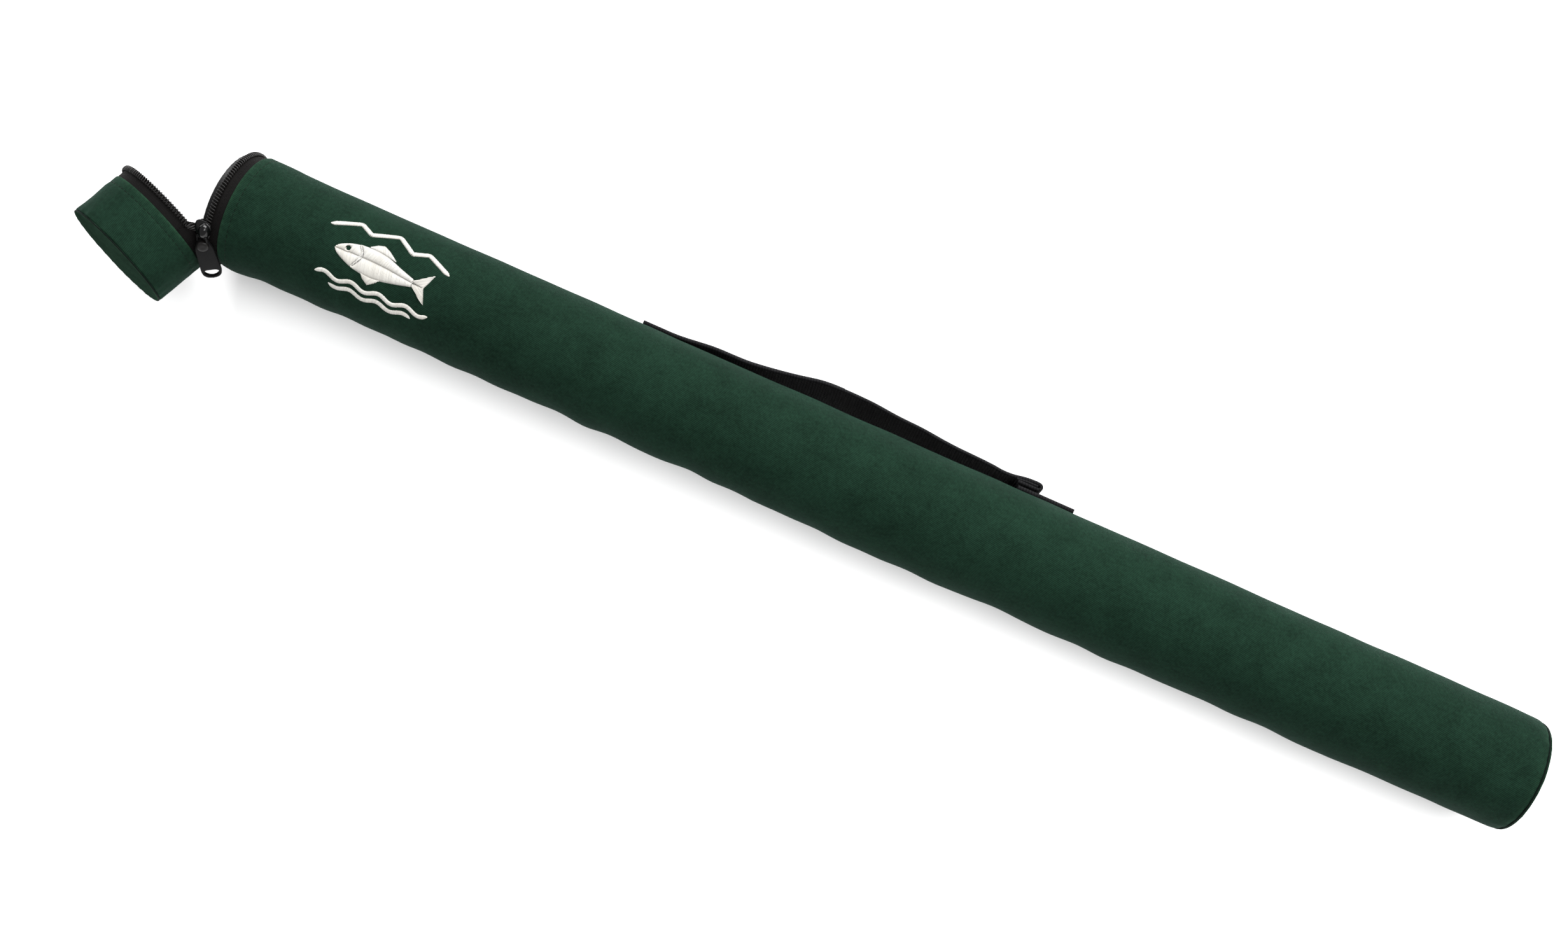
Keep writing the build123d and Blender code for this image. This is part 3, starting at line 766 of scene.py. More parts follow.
def build_lid():
    profile = [(LID_MOUTH_X - offset, radius, wear) for offset, radius, wear in LID_HEM]
    profile += [(ZIP_X - depth, RADIUS + 0.08, 0)
                for depth in spread(LID_MOUTH + 10, LID_SEAM - 4.5, 2.0)]
    profile += [(ZIP_X - (LID_SEAM - offset), radius, wear) for offset, radius, wear in LID_END]
    piece = lathe("sleeve_lid", profile, lid_cloth_painted_light, full_circle(224), lid_relief, body="lid")
    fix(piece, "lid", "fabric_green", "lid_cover", "lid_seam")


# ------------------------------------------------------------------ zip tape and fabric hinge
PATCH_HALF = 24.5       # the hinge patch spans this angle each side of the hinge
TAPE_IN, TAPE_OUT = 31.08, 31.52                # radii of the tape's two faces
TAPE_TUCK = 4.6         # how far a tape runs under the green edge
WOVEN_EDGE = 3.4        # zip plane to the end of the free tape beside the coil
SPRING = 3.6            # how far the open lid's tape springs out past the zip plane
LID_CHAIN = 45.5        # the lid's own chain starts this angle from the hinge
CASE_CHAIN = 39.5       # where the lead chain leaves the slider
COIL_R = 32.34
# the lead turns with the lid between these distances from the hinge, along its axis
LEAD_START = COIL_R * math.sin(math.radians(32.5))
LEAD_END = COIL_R * math.sin(math.radians(44.0))
SIDES = ((1, "front"), (-1, "back"))            # towards larger and smaller angles
tape_waves = ripple(seed=51, waves=8, lengths=(20, 60), turns=12)


def tape_relief(x, angle, radius):
    return 0.05 * tape_waves(x, angle)


def tape_profile(direction, outer, inner=0.5):
    """Tape between two distances off the zip plane, thicker in a strip beside the coil."""
    offsets = np.r_[inner, inner + 0.25, spread(inner + 0.9, outer, 1.2)]
    top = [(ZIP_X + direction * offset, TAPE_OUT + (0.06 if 3.3 < offset < 4.4 else 0.0))
           for offset in offsets]
    return top + [(ZIP_X + direction * offset, TAPE_IN) for offset in offsets[::-1]]


def spring(from_hinge):
    """How far the lid's tape springs out at an angle from the hinge."""
    gap = np.abs(np.asarray(from_hinge, float))
    gap = np.minimum(gap, 360 - gap)
    return SPRING * smooth((gap - 33) / 11)


def far_lift(from_hinge):
    """How far the sprung tape lifts opposite the hinge."""
    return 0.25 * smooth((from_hinge - 60) / 40) * smooth((300 - from_hinge) / 40)


def squash_when_shut(piece):
    """Gives the piece a mesh of its own."""
    axis = swing(HINGE + X_AXIS) - swing(HINGE)
    anchor = swing(np.array([LID_MOUTH_X, 0, 0]))
    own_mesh(piece)


def hang_lead(points):
    """Turns the lead from the case's place at the hinge to the lid's farther off."""
    away = np.abs((points - HINGE) @ HINGE_AXIS)
    return turn(points, smooth((away - LEAD_START) / (LEAD_END - LEAD_START)) * OPEN)


def blend_lead(piece):
    blend(piece)


def blend_hinge(piece):
    blend(piece)


def build_body_tape():
    angles = np.linspace(HINGE_ANGLE + PATCH_HALF, HINGE_ANGLE + 360 - PATCH_HALF, 220)
    piece = lathe("tape_body", tape_profile(1, MOUTH + TAPE_TUCK), tape_cloth, angles,
                  tape_relief, closed=False)
    fix(piece, "case", "zip_tape", "body_zip_tape")


def build_lid_tape():
    profile = np.array(tape_profile(-1, LID_MOUTH + TAPE_TUCK))
    from_hinge = np.linspace(LID_CHAIN - 0.3, 360 - LID_CHAIN + 0.3, 190)
    x, delta, radius = carry_round(profile, from_hinge)
    free = np.clip((LID_MOUTH - (ZIP_X - x)) / (LID_MOUTH - WOVEN_EDGE), 0, 1)
    radius = radius + tape_relief(x, delta, radius) + free * far_lift(delta)
    points = swing(on_tube(x + free * spring(delta), HINGE_ANGLE + delta, radius))
    uv = tube_uv(run_length(profile, closed=True), from_hinge)
    piece = grid("tape_lid", points, uv, tape_cloth, wrap_rows=True, caps=True)
    fix(piece, "lid", "zip_tape", "lid_zip_tape")
    squash_when_shut(piece)


def rest_share(points, guess, half_width):
    """Share of the swing at which each point of the hinge cloth hangs: where the smooth blend
    over +-half_width along the bisector agrees with the turn itself, nearest to the guess."""
    trial = np.linspace(0, 1, 241)
    arm = points - HINGE
    fixed = (arm @ HINGE_AXIS)[:, None] * (HINGE_AXIS @ BISECTOR)
    along = (arm @ BISECTOR)[:, None]
    across = (np.cross(HINGE_AXIS, arm) @ BISECTOR)[:, None]
    phi = trial[None] * OPEN
    depth = along * np.cos(phi) + across * np.sin(phi) + fixed * (1 - np.cos(phi))
    miss = smooth((depth + half_width) / (2 * half_width)) - trial[None]
    candidates = [(0.0, np.abs(miss[:, 0]) < 1e-9), (1.0, np.abs(miss[:, -1]) < 1e-9)]
    for k in range(len(trial) - 1):
        before, after = miss[:, k], miss[:, k + 1]
        crossing = before * after < 0
        share = before / np.where(crossing, before - after, 1)
        candidates.append((trial[k] + (trial[k + 1] - trial[k]) * share, crossing))
    best = np.full(len(points), -1.0)
    cost = np.full(len(points), 9.0)
    for share, valid in candidates:
        gap = np.where(valid, np.abs(guess - share), 9.0)
        best = np.where(gap < cost, share, best)
        cost = np.minimum(gap, cost)
    return np.where(best < 0, guess, best)


def build_hinge_patch():
    """Patch of tape that folds across the hinge."""
    half_width = 2.3
    offsets = np.array([
        MOUTH + 4.4, MOUTH + 1, 6.5, 5.2, 4.2, 3.4, 2.6, 1.9, 1.3, 0.8, 0.35, 0.0, -0.35, -0.8,
        -1.3, -1.9, -2.6, -3.4, -4.2, -5.2, -LID_MOUTH - 2, -LID_MOUTH - 4.4])
    profile = np.array([(offset, TAPE_OUT) for offset in offsets]
                       + [(offset, TAPE_IN + 0.04) for offset in offsets[::-1]])
    delta = np.linspace(-PATCH_HALF + 0.1, PATCH_HALF - 0.1, 41)
    offset, angle, radius = carry_round(profile, HINGE_ANGLE + delta)
    points = on_tube(ZIP_X + offset, angle, radius)
    guess = np.clip(0.5 - offset / 2.4, 0, 1).ravel()
    flat = points.reshape(-1, 3)
    hung = turn(flat, rest_share(flat, guess, half_width) * OPEN).reshape(points.shape)
    uv = tube_uv(np.r_[profile[:, 0], profile[0, 0]], delta)
    piece = grid("hinge_patch", hung, uv, tape_cloth, wrap_rows=True, caps=True)
    blend_hinge(piece)
    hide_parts("hinge_patch_body", "hinge_patch_lid")


def build_tape_webs():
    """Tape between the held end of the chain and the lid, each side of the hinge."""
    start = PATCH_HALF - 0.6
    on_lid_angles = np.linspace(start, LID_CHAIN + 1.0, 37)
    on_case_angles = np.clip(start + (on_lid_angles - start) * (CASE_CHAIN - 3 - start)
                             / (LID_CHAIN - 3 - start), 0, CASE_CHAIN + 1)
    # (distance from the zip plane, whether it is on the lid)
    edges = [(-0.4, False), (-2.6, False), (-LID_MOUTH + 0.6, True), (-LID_MOUTH - 3.6, True)]
    rows = [(31.27, *edge) for edge in edges] + [(30.97, *edge) for edge in edges[::-1]]
    run = np.array([0.6, 2.6, 7.0, 10.0, 10.0, 7.0, 2.6, 0.6, 0.0])
    on_lid = np.array([row[2] for row in rows])
    for side, tag in SIDES:
        points = np.array([
            on_tube(ZIP_X + offset,
                    HINGE_ANGLE + side * (on_lid_angles if moves else on_case_angles), radius)
            for radius, offset, moves in rows])
        points = np.where(on_lid[:, None, None], swing(points), points)
        piece = grid("tape_web_" + tag, points, tube_uv(run, on_lid_angles), tape_cloth,
                     wrap_rows=True, caps=True)
        blend_hinge(piece)
        if side > 0:
            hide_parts("zip_lead_tape")


# ------------------------------------------------------------------ zip coil
WIRE = 0.40                     # wire radius
COIL_OFFSET = 1.88              # zip plane to the coil's middle
COIL_HALF_WIDTH, COIL_HALF_HEIGHT = 1.42, 0.66
TURN_STEP = math.degrees(1.69 / 32.3)           # 1.69 mm between turns
body_turns = np.arange(PATCH_HALF + 2.6, 360 - PATCH_HALF - 2.4, TURN_STEP)
# half a turn out of step with the case's, as the closed chain needs
lid_turns = body_turns[(body_turns > LID_CHAIN - 1) & (body_turns < 361 - LID_CHAIN)]


def coil(name, turns, pose=None, side=1):
    """Wound coil with turns at these angles from the hinge; pose hangs it on the open lid."""
    per_turn, sides = 14, 7
    order = np.linspace(0, len(turns) - 1, (len(turns) - 1) * per_turn + 1)
    delta = np.interp(order, np.arange(len(turns)), turns)
    phase = 2 * math.pi * order + (math.pi if pose else 0.0)
    across = np.sign(np.cos(phase)) * np.abs(np.cos(phase)) ** 0.75
    x = ZIP_X + (-1 if pose else 1) * (COIL_OFFSET + COIL_HALF_WIDTH * across)
    radius = COIL_R + COIL_HALF_HEIGHT * np.sin(phase)
    if pose:
        x = x + spring(delta)
        radius = radius + far_lift(delta)
    path = on_tube(x, HINGE_ANGLE + side * delta, radius)
    _, first, second = frames(path)
    ring = np.linspace(0, 2 * math.pi, sides, endpoint=False)[None, :, None]
    points = path[:, None] + WIRE * (np.cos(ring) * first[:, None]
                                     + np.sin(ring) * second[:, None])
    if pose:
        points = pose(points)
    count = len(path)
    faces, corners = quads(count, sides, uv_grid(run_length(path), np.arange(sides + 1) / sides),
                           wrap_cols=True)
    for end in (0, count - 1):
        faces.append([end * sides + k for k in range(sides)])
        corners += [[0, 0]] * sides
    return make(name, points.reshape(-1, 3), faces, nylon, corners, recalc=True)


def lead_turns():
    """Angles of evenly spaced turns along the lead as it hangs."""
    delta = np.linspace(PATCH_HALF + 2.6, lid_turns[0], 400)
    path = hang_lead(on_tube(ZIP_X - COIL_OFFSET + spring(delta), HINGE_ANGLE + delta, COIL_R))
    run = run_length(path)
    return np.interp(np.linspace(0, run[-1], int(round(run[-1] / 1.72)) + 1), run, delta)


def build_lead_tape(side, tag):
    # section: (distance from the zip plane, radius)
    section = np.array([
        (-0.5, TAPE_OUT), (-1.6, TAPE_OUT), (-2.8, TAPE_OUT), (-3.6, TAPE_OUT + 0.05),
        (-LID_MOUTH, TAPE_OUT), (-LID_MOUTH - 2, TAPE_OUT - 0.1), (-LID_MOUTH - 2, TAPE_IN),
        (-LID_MOUTH, TAPE_IN), (-3.6, TAPE_IN), (-2.8, TAPE_IN), (-1.6, TAPE_IN),
        (-0.5, TAPE_IN)])
    delta = np.linspace(PATCH_HALF + 0.2, LID_CHAIN + 0.4, 60)
    offset, angle, radius = carry_round(section, HINGE_ANGLE + side * delta)
    free = np.clip((LID_MOUTH + offset) / (LID_MOUTH - WOVEN_EDGE), 0, 1)
    # wider where it leaves the case
    extra = np.where(offset < -LID_MOUTH - 1, 2.5, 0) * smooth((delta - 32.5) / 5)
    points = on_tube(ZIP_X + offset + free * spring(delta) - extra, angle, radius)
    uv = tube_uv(np.r_[section[:, 0], section[0, 0]], delta)
    piece = grid("tape_lead_" + tag, hang_lead(points), uv, tape_cloth, wrap_rows=True, caps=True)
    blend_lead(piece)


def build_chain():
    fix(coil("coil_body", body_turns), "case", "zip_coil", "body_zip_teeth")
    piece = coil("coil_lid", lid_turns, pose=swing)
    fix(piece, "lid", "zip_coil", "lid_zip_teeth")
    squash_when_shut(piece)
    lead = lead_turns()[::-1]
    for side, tag in SIDES:
        piece = coil("coil_lead_" + tag, lead, pose=hang_lead, side=side)
        blend_lead(piece)
        if side > 0:
            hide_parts("zip_lead_teeth")
        build_lead_tape(side, tag)


# ------------------------------------------------------------------ slider and pull
EYE = np.array(joints["pull_swing"]["pos_m"], float) * 1000.0
SLIDER_ANGLE = HINGE_ANGLE + 38.5


def plate_face(radius, drop=0.0):
    """Flat ring that drops where the outline nears its widest."""
    return lambda x, y, wide: radius - drop * smooth((wide - 0.5) / 0.25)


def domed_face(share):
    """Top of the slider at a share of its outline: a rounded plate with a dome over the eye."""
    def height(x, y, wide):
        plate = 33.75 + 0.5 * math.sqrt(max(0.0, 1 - share ** 7)) + 0.12 * (1 - share ** 2)
        inside = 1 - ((x - (EYE[0] - ZIP_X)) / 3.35) ** 2 - ((y - 0.2) / 4.35) ** 2
        dome = 33.9 + 4.7 * np.sqrt(np.maximum(inside, 0.0))
        fillet = np.maximum(0, 0.7 - np.abs(dome - plate)) / 0.7
        return np.where(inside > -0.6, np.maximum(dome, plate) + 0.15 * fillet * fillet, plate)
    return height


# lower faces, from the rim in: (share of the outline, radius, drop)
TOP_UNDERSIDE = [(1.0, 33.45, 0), (0.985, 33.2, 0), (0.95, 33.1, 0), (0.865, 33.08, 0),
                 (0.86, 33.0, 1.25), (0.80, 33.0, 1.35), (0.78, 33.08, 0), (0.4, 33.08, 0),
                 (0.004, 33.08, 0)]
UNDER_PLATE = [(0.004, 31.02, 0), (0.6, 31.02, 0), (0.95, 31.0, 0), (1.0, 30.85, 0),
               (1.0, 30.6, 0), (0.95, 30.46, 0), (0.6, 30.44, 0), (0.004, 30.44, 0)]


def slider_shell(name, rings, half_x, half_round):
    """Closed shell over a rounded outline narrower at one end; rings: (share, height)."""
    phase = np.linspace(0, 2 * math.pi, 96, endpoint=False)
    cos, sin = np.cos(phase), np.sin(phase)
    squareness, taper = 3.0, 0.10
    reach = (np.abs(cos) ** squareness + np.abs(sin) ** squareness) ** (-1 / squareness)
    x, y = half_x * cos * reach, half_round * sin * reach
    x = x * (1 - taper * (1 - y / half_round) / 2)
    points = np.array([
        on_tube(ZIP_X + x * share, SLIDER_ANGLE + np.degrees(y * share / 33.5),
                height(x * share, y * share, np.abs(cos)))
        for share, height in rings])
    uv = uv_grid(np.arange(len(rings)) * 1.0, np.arange(97) * 0.3)
    return grid(name, points, uv, enamel, wrap_cols=True)


def plates(table):
    return [(share, plate_face(radius, drop)) for share, radius, drop in table]


def build_slider():
    shares = np.r_[0.004, np.linspace(0.05, 0.9, 26), 0.93, 0.96, 0.98, 0.995, 1.0]
    rings = [(share, domed_face(share)) for share in shares] + plates(TOP_UNDERSIDE)
    piece = slider_shell("slider_top", rings, half_x=5.0, half_round=5.3)
    fix(piece, "slider", "zip_metal", "zip_slider", "slider_bail")
    piece = slider_shell("slider_under", plates(UNDER_PLATE), half_x=4.35, half_round=5.2)
    fix(piece, "slider", "zip_metal")


def slab(loops, half_thickness, bevel, origin, axes):
    """Flat part with rounded edges; the first loop is the outline, the others are holes."""
    curve = bpy.data.curves.new("tmp", "CURVE")
    curve.dimensions = "2D"
    curve.fill_mode = "BOTH"
    curve.extrude = (half_thickness - bevel) / 1000
    curve.bevel_depth = bevel / 1000
    curve.offset = -bevel / 1000
    curve.bevel_resolution = 3
    for loop in loops:
        spline = curve.splines.new("POLY")
        spline.points.add(len(loop) - 1)
        spline.use_cyclic_u = True
        for k, (x, y) in enumerate(loop):
            spline.points[k].co = (x / 1000, y / 1000, 0, 1)
    holder = bpy.data.objects.new("tmp", curve)
    bpy.context.collection.objects.link(holder)
    graph = bpy.context.evaluated_depsgraph_get()
    mesh = bpy.data.meshes.new_from_object(holder.evaluated_get(graph))
    bpy.data.objects.remove(holder)
    work = bmesh.new()
    work.from_mesh(mesh)
    bmesh.ops.remove_doubles(work, verts=work.verts, dist=1e-6)
    flat = np.array([vert.co[:] for vert in work.verts]) * 1000
    faces = [[vert.index for vert in face.verts] for face in work.faces]
    work.free()
    return origin + sum(flat[:, k:k + 1] * axes[k] for k in range(3)), faces


def boss(profile, origin, axis, start, count=48):
    """Round part: profile of (height along axis, radius), turned from the direction start."""
    across = np.cross(axis, start)
    angles = np.linspace(0, 2 * math.pi, count, endpoint=False)
    points = np.array([
        [origin + axis * height
         + max(radius, 0.01) * (start * math.cos(angle) + across * math.sin(angle))
         for angle in angles] for height, radius in profile]).reshape(-1, 3)
    last = len(profile) - 1
    faces = [[i * count + j, i * count + (j + 1) % count,
              (i + 1) * count + (j + 1) % count, (i + 1) * count + j]
             for i in range(last) for j in range(count)]
    faces += [list(range(count)), [last * count + j for j in range(count)]]
    return points, faces


def joined(name, parts, mat):
    points, faces, first = [], [], 0
    for part_points, part_faces in parts:
        points.append(part_points)
        faces += [[first + i for i in face] for face in part_faces]
        first += len(part_points)
    piece = make(name, np.vstack(points), faces, mat, recalc=True)
    piece.data.set_sharp_from_angle(angle=math.radians(40.0))
    return piece


def mirrored_loop(half):
    """Smooth closed loop from its half on one side of the long axis."""
    half = catmull(half, 6)
    return np.vstack([half, (half * [1, -1])[::-1][1:-1]])


RIVET = [(0.9, 3.1), (1.6, 3.3), (2.5, 3.2), (2.95, 2.85), (3.15, 2.2), (3.17, 1.2), (3.1, 0)]
BARREL = [(-2.0, 1.2), (-2.0, 1.75), (-1.75, 1.95), (1.75, 1.95), (2.0, 1.75), (2.0, 1.2)]


def build_pull():
    """Tab hanging from the slider's eye, with a barrel and a rivet at its upper end."""
    hang = np.array([0, -0.55, -0.835])
    hang /= np.linalg.norm(hang)
    bar = EYE + hang * 5.4
    tip = np.array([ZIP_X + 7.5, -39.6, 6.4])
    length = float(np.linalg.norm(tip - bar))
    along = (tip - bar) / length
    normal = np.cross(along, X_AXIS)
    normal /= np.linalg.norm(normal)
    across = np.cross(normal, along)
    twist = math.radians(-30.0)         # the tab hangs a little twisted
    cos, sin = math.cos(twist), math.sin(twist)
    across, normal = across * cos + normal * sin, normal * cos - across * sin
    # halves of the outline and of the hole near the tip: (along the tab, across it)
    outline = mirrored_loop([
        (-2.3, 0), (-2.0, 1.5), (-1.0, 2.7), (1.2, 3.9), (4.0, 4.7), (9.0, 5.0),
        (length - 8, 5.35), (length - 4.6, 5.4), (length - 2.2, 4.8), (length - 0.5, 3.0),
        (length + 0.15, 0)])
    hole = mirrored_loop([
        (length - 5.6, 0), (length - 5.5, 2.4), (length - 4.9, 3.7), (length - 3.8, 3.95),
        (length - 2.5, 3.1), (length - 1.5, 1.6), (length - 1.15, 0)])
    tab = slab([outline, hole], half_thickness=1.15, bevel=0.4, origin=bar,
               axes=(along, across, normal))
    piece = joined("pull_tab", [tab, boss(BARREL, bar, X_AXIS, hang)], tab_plastic)
    fix(piece, "pull", "pull_plastic", "zip_pull")
    piece = joined("pull_rivet", [boss(RIVET, bar + along * 0.7, normal, across)], nylon)
    fix(piece, "pull", "pull_plastic")


# ------------------------------------------------------------------ stitching
STITCH_SHARES = np.array([0.10, 0.22, 0.5, 0.78, 0.90])     # points along one stitch
STITCH_RISE = np.array([-0.2, 0.02, 0.08, 0.02, -0.2])      # their height over the cloth
FELL_ROW = 4.3                  # felled seam's middle to each row of stitches, degrees


def stitch(threads, x, angle, radius, thickness, body, relief):
    radius = radius + STITCH_RISE
    if relief is not None:
        radius = radius + relief(x, angle, CLOTH_R)
    threads.add(posed(on_tube(x, angle, radius), body), thickness, rng.uniform(0.82, 1.12))


def stitch_ring(threads, x, radius, start=0, end=360, pitch=3.1, thickness=0.17, body="case",
                relief=None):
    count = int(abs(math.radians(end - start)) * radius / pitch)
    for k in range(count):
        angle = start + (end - start) * (k + STITCH_SHARES) / count
        stitch(threads, np.full(5, x) + rng.normal(0, 0.035), angle, radius, thickness, body,
               relief)


def stitch_fell(threads, radius, start, end, body, relief, pitch=3.1):
    """Two rows along the felled seam."""
    count = int(abs(end - start) / pitch)
    for row in (FELL_ANGLE - FELL_ROW, FELL_ANGLE + FELL_ROW):
        for k in range(count):
            x = start + (end - start) * (k + STITCH_SHARES) / count
            stitch(threads, x, np.full(5, row) + rng.normal(0, 0.06), radius, 0.17, body, relief)


def build_cloth_stitches():
    threads = Threads()
    stitch_ring(threads, MOUTH_X + 4.9, 31.98, relief=sleeve_relief)
    stitch_fell(threads, 32.02, MOUTH_X + 7, END_X - 4, "case", sleeve_relief)
    threads.build("stitches_body", green_thread, "fabric_green")
    threads = Threads()
    stitch_ring(threads, LID_MOUTH_X - 4.9, 31.88, body="lid", relief=lid_relief)
    stitch_fell(threads, 32.12, LID_MOUTH_X - 6.5, ZIP_X - LID_SEAM + 3, "lid", lid_relief)
    threads.build("stitches_lid", green_thread, "fabric_green")
    threads = Threads()
    stitch_ring(threads, ZIP_X + 5.6, TAPE_OUT + 0.02, HINGE_ANGLE + 28, HINGE_ANGLE + 332,
                pitch=2.4, thickness=0.12)
    threads.build("stitches_tape", black_thread, "zip_tape")


# ------------------------------------------------------------------ carry handle
lift_axis = joints["handle_lift"]["axis"]
handle_angle = math.radians(math.degrees(math.atan2(lift_axis[2], -lift_axis[1])) % 360)
HANDLE_OUT = np.array([0.0, -math.cos(handle_angle), math.sin(handle_angle)])
# across the webbing, towards larger angles
HANDLE_ACROSS = np.array([0.0, math.sin(handle_angle), math.cos(handle_angle)])
WEB_HALF = 15.0                 # half the webbing's width
WEB_EDGE = 0.9                  # radius of its rounded edges, across the width
WRAP_R = 33.1                   # radius the sewn ends bend round
GRIP_SPLIT = 350.0              # where the front and rear pieces meet, from the zip plane

# Webbing paths: (distance from the zip plane, radius).
# This one is the underside of the loose part.
LOOSE = [(251.4, 32.2), (268.0, 32.2), (284.0, 32.3), (300.0, 32.9), (322.0, 36.6),
         (338.0, 40.1), (350.0, 41.0), (366.0, 40.4), (381.0, 39.2), (396.0, 38.2),
         (411.0, 36.7), (426.0, 35.9), (441.0, 35.8)]
# The others are middle lines.
FRONT_SEWN = [(234.0, 33.18), (234.7, 33.2), (238, 33.2), (243, 33.2), (248, 33.2)]
REAR_FOLD = [(441, 36.8), (447, 36.5), (453, 36.9), (459, 38.0), (463.5, 38.5), (467.4, 38.6),
             (469.3, 38.2), (469.9, 37.2), (469.9, 36.2), (469.2, 35.45), (467.0, 35.3),
             (462.0, 35.25), (456.8, 35.25)]
REAR_BASE = [(457.8, 33.25), (470, 33.35), (491.0, 33.35)]
REAR_LAYER = [(455.5, 36.3), (462, 36.95), (467.9, 36.95)]
SEWN_SPANS = ((236.5, 249.5), (473.5, 488.5))   # boxes of stitches on the sewn ends


def from_zip(table, rise=0.0):
    return np.array(table, float) + [ZIP_X, rise]


def bent_or_flat(x, y, radius):
    """Radius and offset across the webbing of points wrapped round the case."""
    return np.stack([x, radius * np.sin(y / WRAP_R), radius * np.cos(y / WRAP_R)], -1)


def handle_points(local):
    """From (x, across, outward) to space."""
    along = local[..., :1] * X_AXIS
    return along + local[..., 1:2] * HANDLE_ACROSS + local[..., 2:3] * HANDLE_OUT


def web_section():
    """Section of the webbing: (across, -1 to 1 through the thickness)."""
    inner = WEB_HALF - WEB_EDGE
    section = [(y, 1.0) for y in np.linspace(-inner, inner, 25)]
    section += [(inner + WEB_EDGE * math.cos(turned), math.sin(turned))
                for turned in np.radians([60, 30, 0, -30, -60])]
    section += [(y, -1.0) for y in np.linspace(inner, -inner, 25)]
    section += [(-inner + WEB_EDGE * math.cos(turned), math.sin(turned))
                for turned in np.radians([-120, -150, 180, 150, 120])]
    return np.array(section)


def strap(name, path, flatness, end_wear=0.0, half_thickness=1.0):
    """Webbing along path (x, radius): bent round the case at flatness 0, flat across at 1."""
    tangent = unit_tangents(path)
    normal = np.stack([-tangent[:, 1], tangent[:, 0]], 1)
    section = web_section()
    y = section[:, 0]
    through = section[:, 1] * half_thickness
    count = len(path)
    flatness = np.broadcast_to(flatness, (count,))
    waves = ripple(seed=71, waves=6, lengths=(30, 80), turns=0)
    points = np.zeros((len(section), count, 3))
    for i in range(count):
        flat = flatness[i]
        x = path[i, 0] + normal[i, 0] * through
        radius = path[i, 1] + normal[i, 1] * through
        dip = (0.25 * (y / WEB_HALF) ** 2 * flat
               + 0.12 * waves(path[i, 0], 0) * (y / WEB_HALF) * flat)
        level = np.stack([x, y, radius - dip], 1)
        points[:, i] = handle_points(bent_or_flat(x, y, radius) * (1 - flat) + level * flat)
    uv = uv_grid(np.r_[y, y[0]], run_length(path))[..., ::-1]
    edge_wear = np.clip((np.abs(y) - (WEB_HALF - 1.4)) / 1.2, 0, 1)
    wear = np.clip(edge_wear[:, None] + np.broadcast_to(end_wear, (count,))[None], 0, 1)
    return grid(name, points, uv, webbing, wrap_rows=True, caps=True, wear=wear)


def blend_along(piece):
    blend(piece)


def build_straps():
    loose = catmull(from_zip(LOOSE, rise=1.0), 14)
    split = int(np.argmin(np.abs(loose[:, 0] - (ZIP_X + GRIP_SPLIT))))

    path = resample(np.vstack([from_zip(FRONT_SEWN), loose[:split + 1]]), 150)
    flatness = smooth((path[:, 0] - (ZIP_X + 250)) / 32.0)
    wear = np.clip(1 - (path[:, 0] - path[0, 0]) / 1.5, 0, 1)
    piece = strap("handle_front", path + [0, 0.12], flatness, wear, half_thickness=1.12)
    blend_along(piece)
    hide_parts("handle_anchor_front", "handle_web")

    path = resample(np.vstack([loose[split:-6], catmull(from_zip(REAR_FOLD), 8)]), 190)
    flatness = 1 - 0.55 * smooth((path[:, 0] - (ZIP_X + 425)) / 30.0)
    wear = np.zeros(len(path))
    wear[-4:] = 1
    piece = strap("handle_rear", path, flatness, wear)
    blend_along(piece)
    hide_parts("handle_fold")

    path = resample(from_zip(REAR_BASE), 46)
    wear = np.clip(1 - (path[-1, 0] - path[:, 0]) / 1.5, 0, 1)
    piece = strap("handle_base", path, 0.0, wear, half_thickness=1.25)
    fix(piece, "case", "webbing", "handle_anchor_rear")

    path = resample(from_zip(REAR_LAYER), 30)
    fix(strap("handle_layer", path, 0.45, half_thickness=0.75), "case", "webbing")


def strap_stitches(threads, corners, radius=34.26, pitch=2.9):
    """Row of thread through corners (distance from the zip plane, across the webbing)."""
    path = resample(corners, 200)
    count = max(2, int(np.linalg.norm(np.diff(path, axis=0), axis=1).sum() / pitch))
    shares = np.linspace(0, 1, len(path))
    for k in range(count):
        at = (k + np.array([0.08, 0.2, 0.5, 0.8, 0.92])) / count
        x = np.interp(at, shares, path[:, 0])
        y = np.interp(at, shares, path[:, 1])
        rise = radius + np.array([-0.3, -0.02, 0.06, -0.02, -0.3])
        threads.add(handle_points(bent_or_flat(ZIP_X + x, y, rise)), 0.2,
                    rng.uniform(0.85, 1.3))


def build_handle_stitches():
    """A crossed box on each sewn end."""
    threads = Threads()
    y = 12.4
    for start, end in SEWN_SPANS:
        strap_stitches(threads, [(start, -y), (end, -y), (end, y), (start, y), (start, -y)])
        strap_stitches(threads, [(start, -y), (end, y)])
        strap_stitches(threads, [(end, -y), (start, y)])
    threads.build("stitches_handle", black_thread, "webbing")


# ------------------------------------------------------------------ emblem
emblem_low, emblem_high = box_mm("emblem")
EMBLEM_X = (emblem_low[0] + emblem_high[0]) / 2
EMBLEM_Y = 1.0                  # its middle, round the sleeve from the top
THREAD_PITCH = 0.40
THREAD_R = 0.235

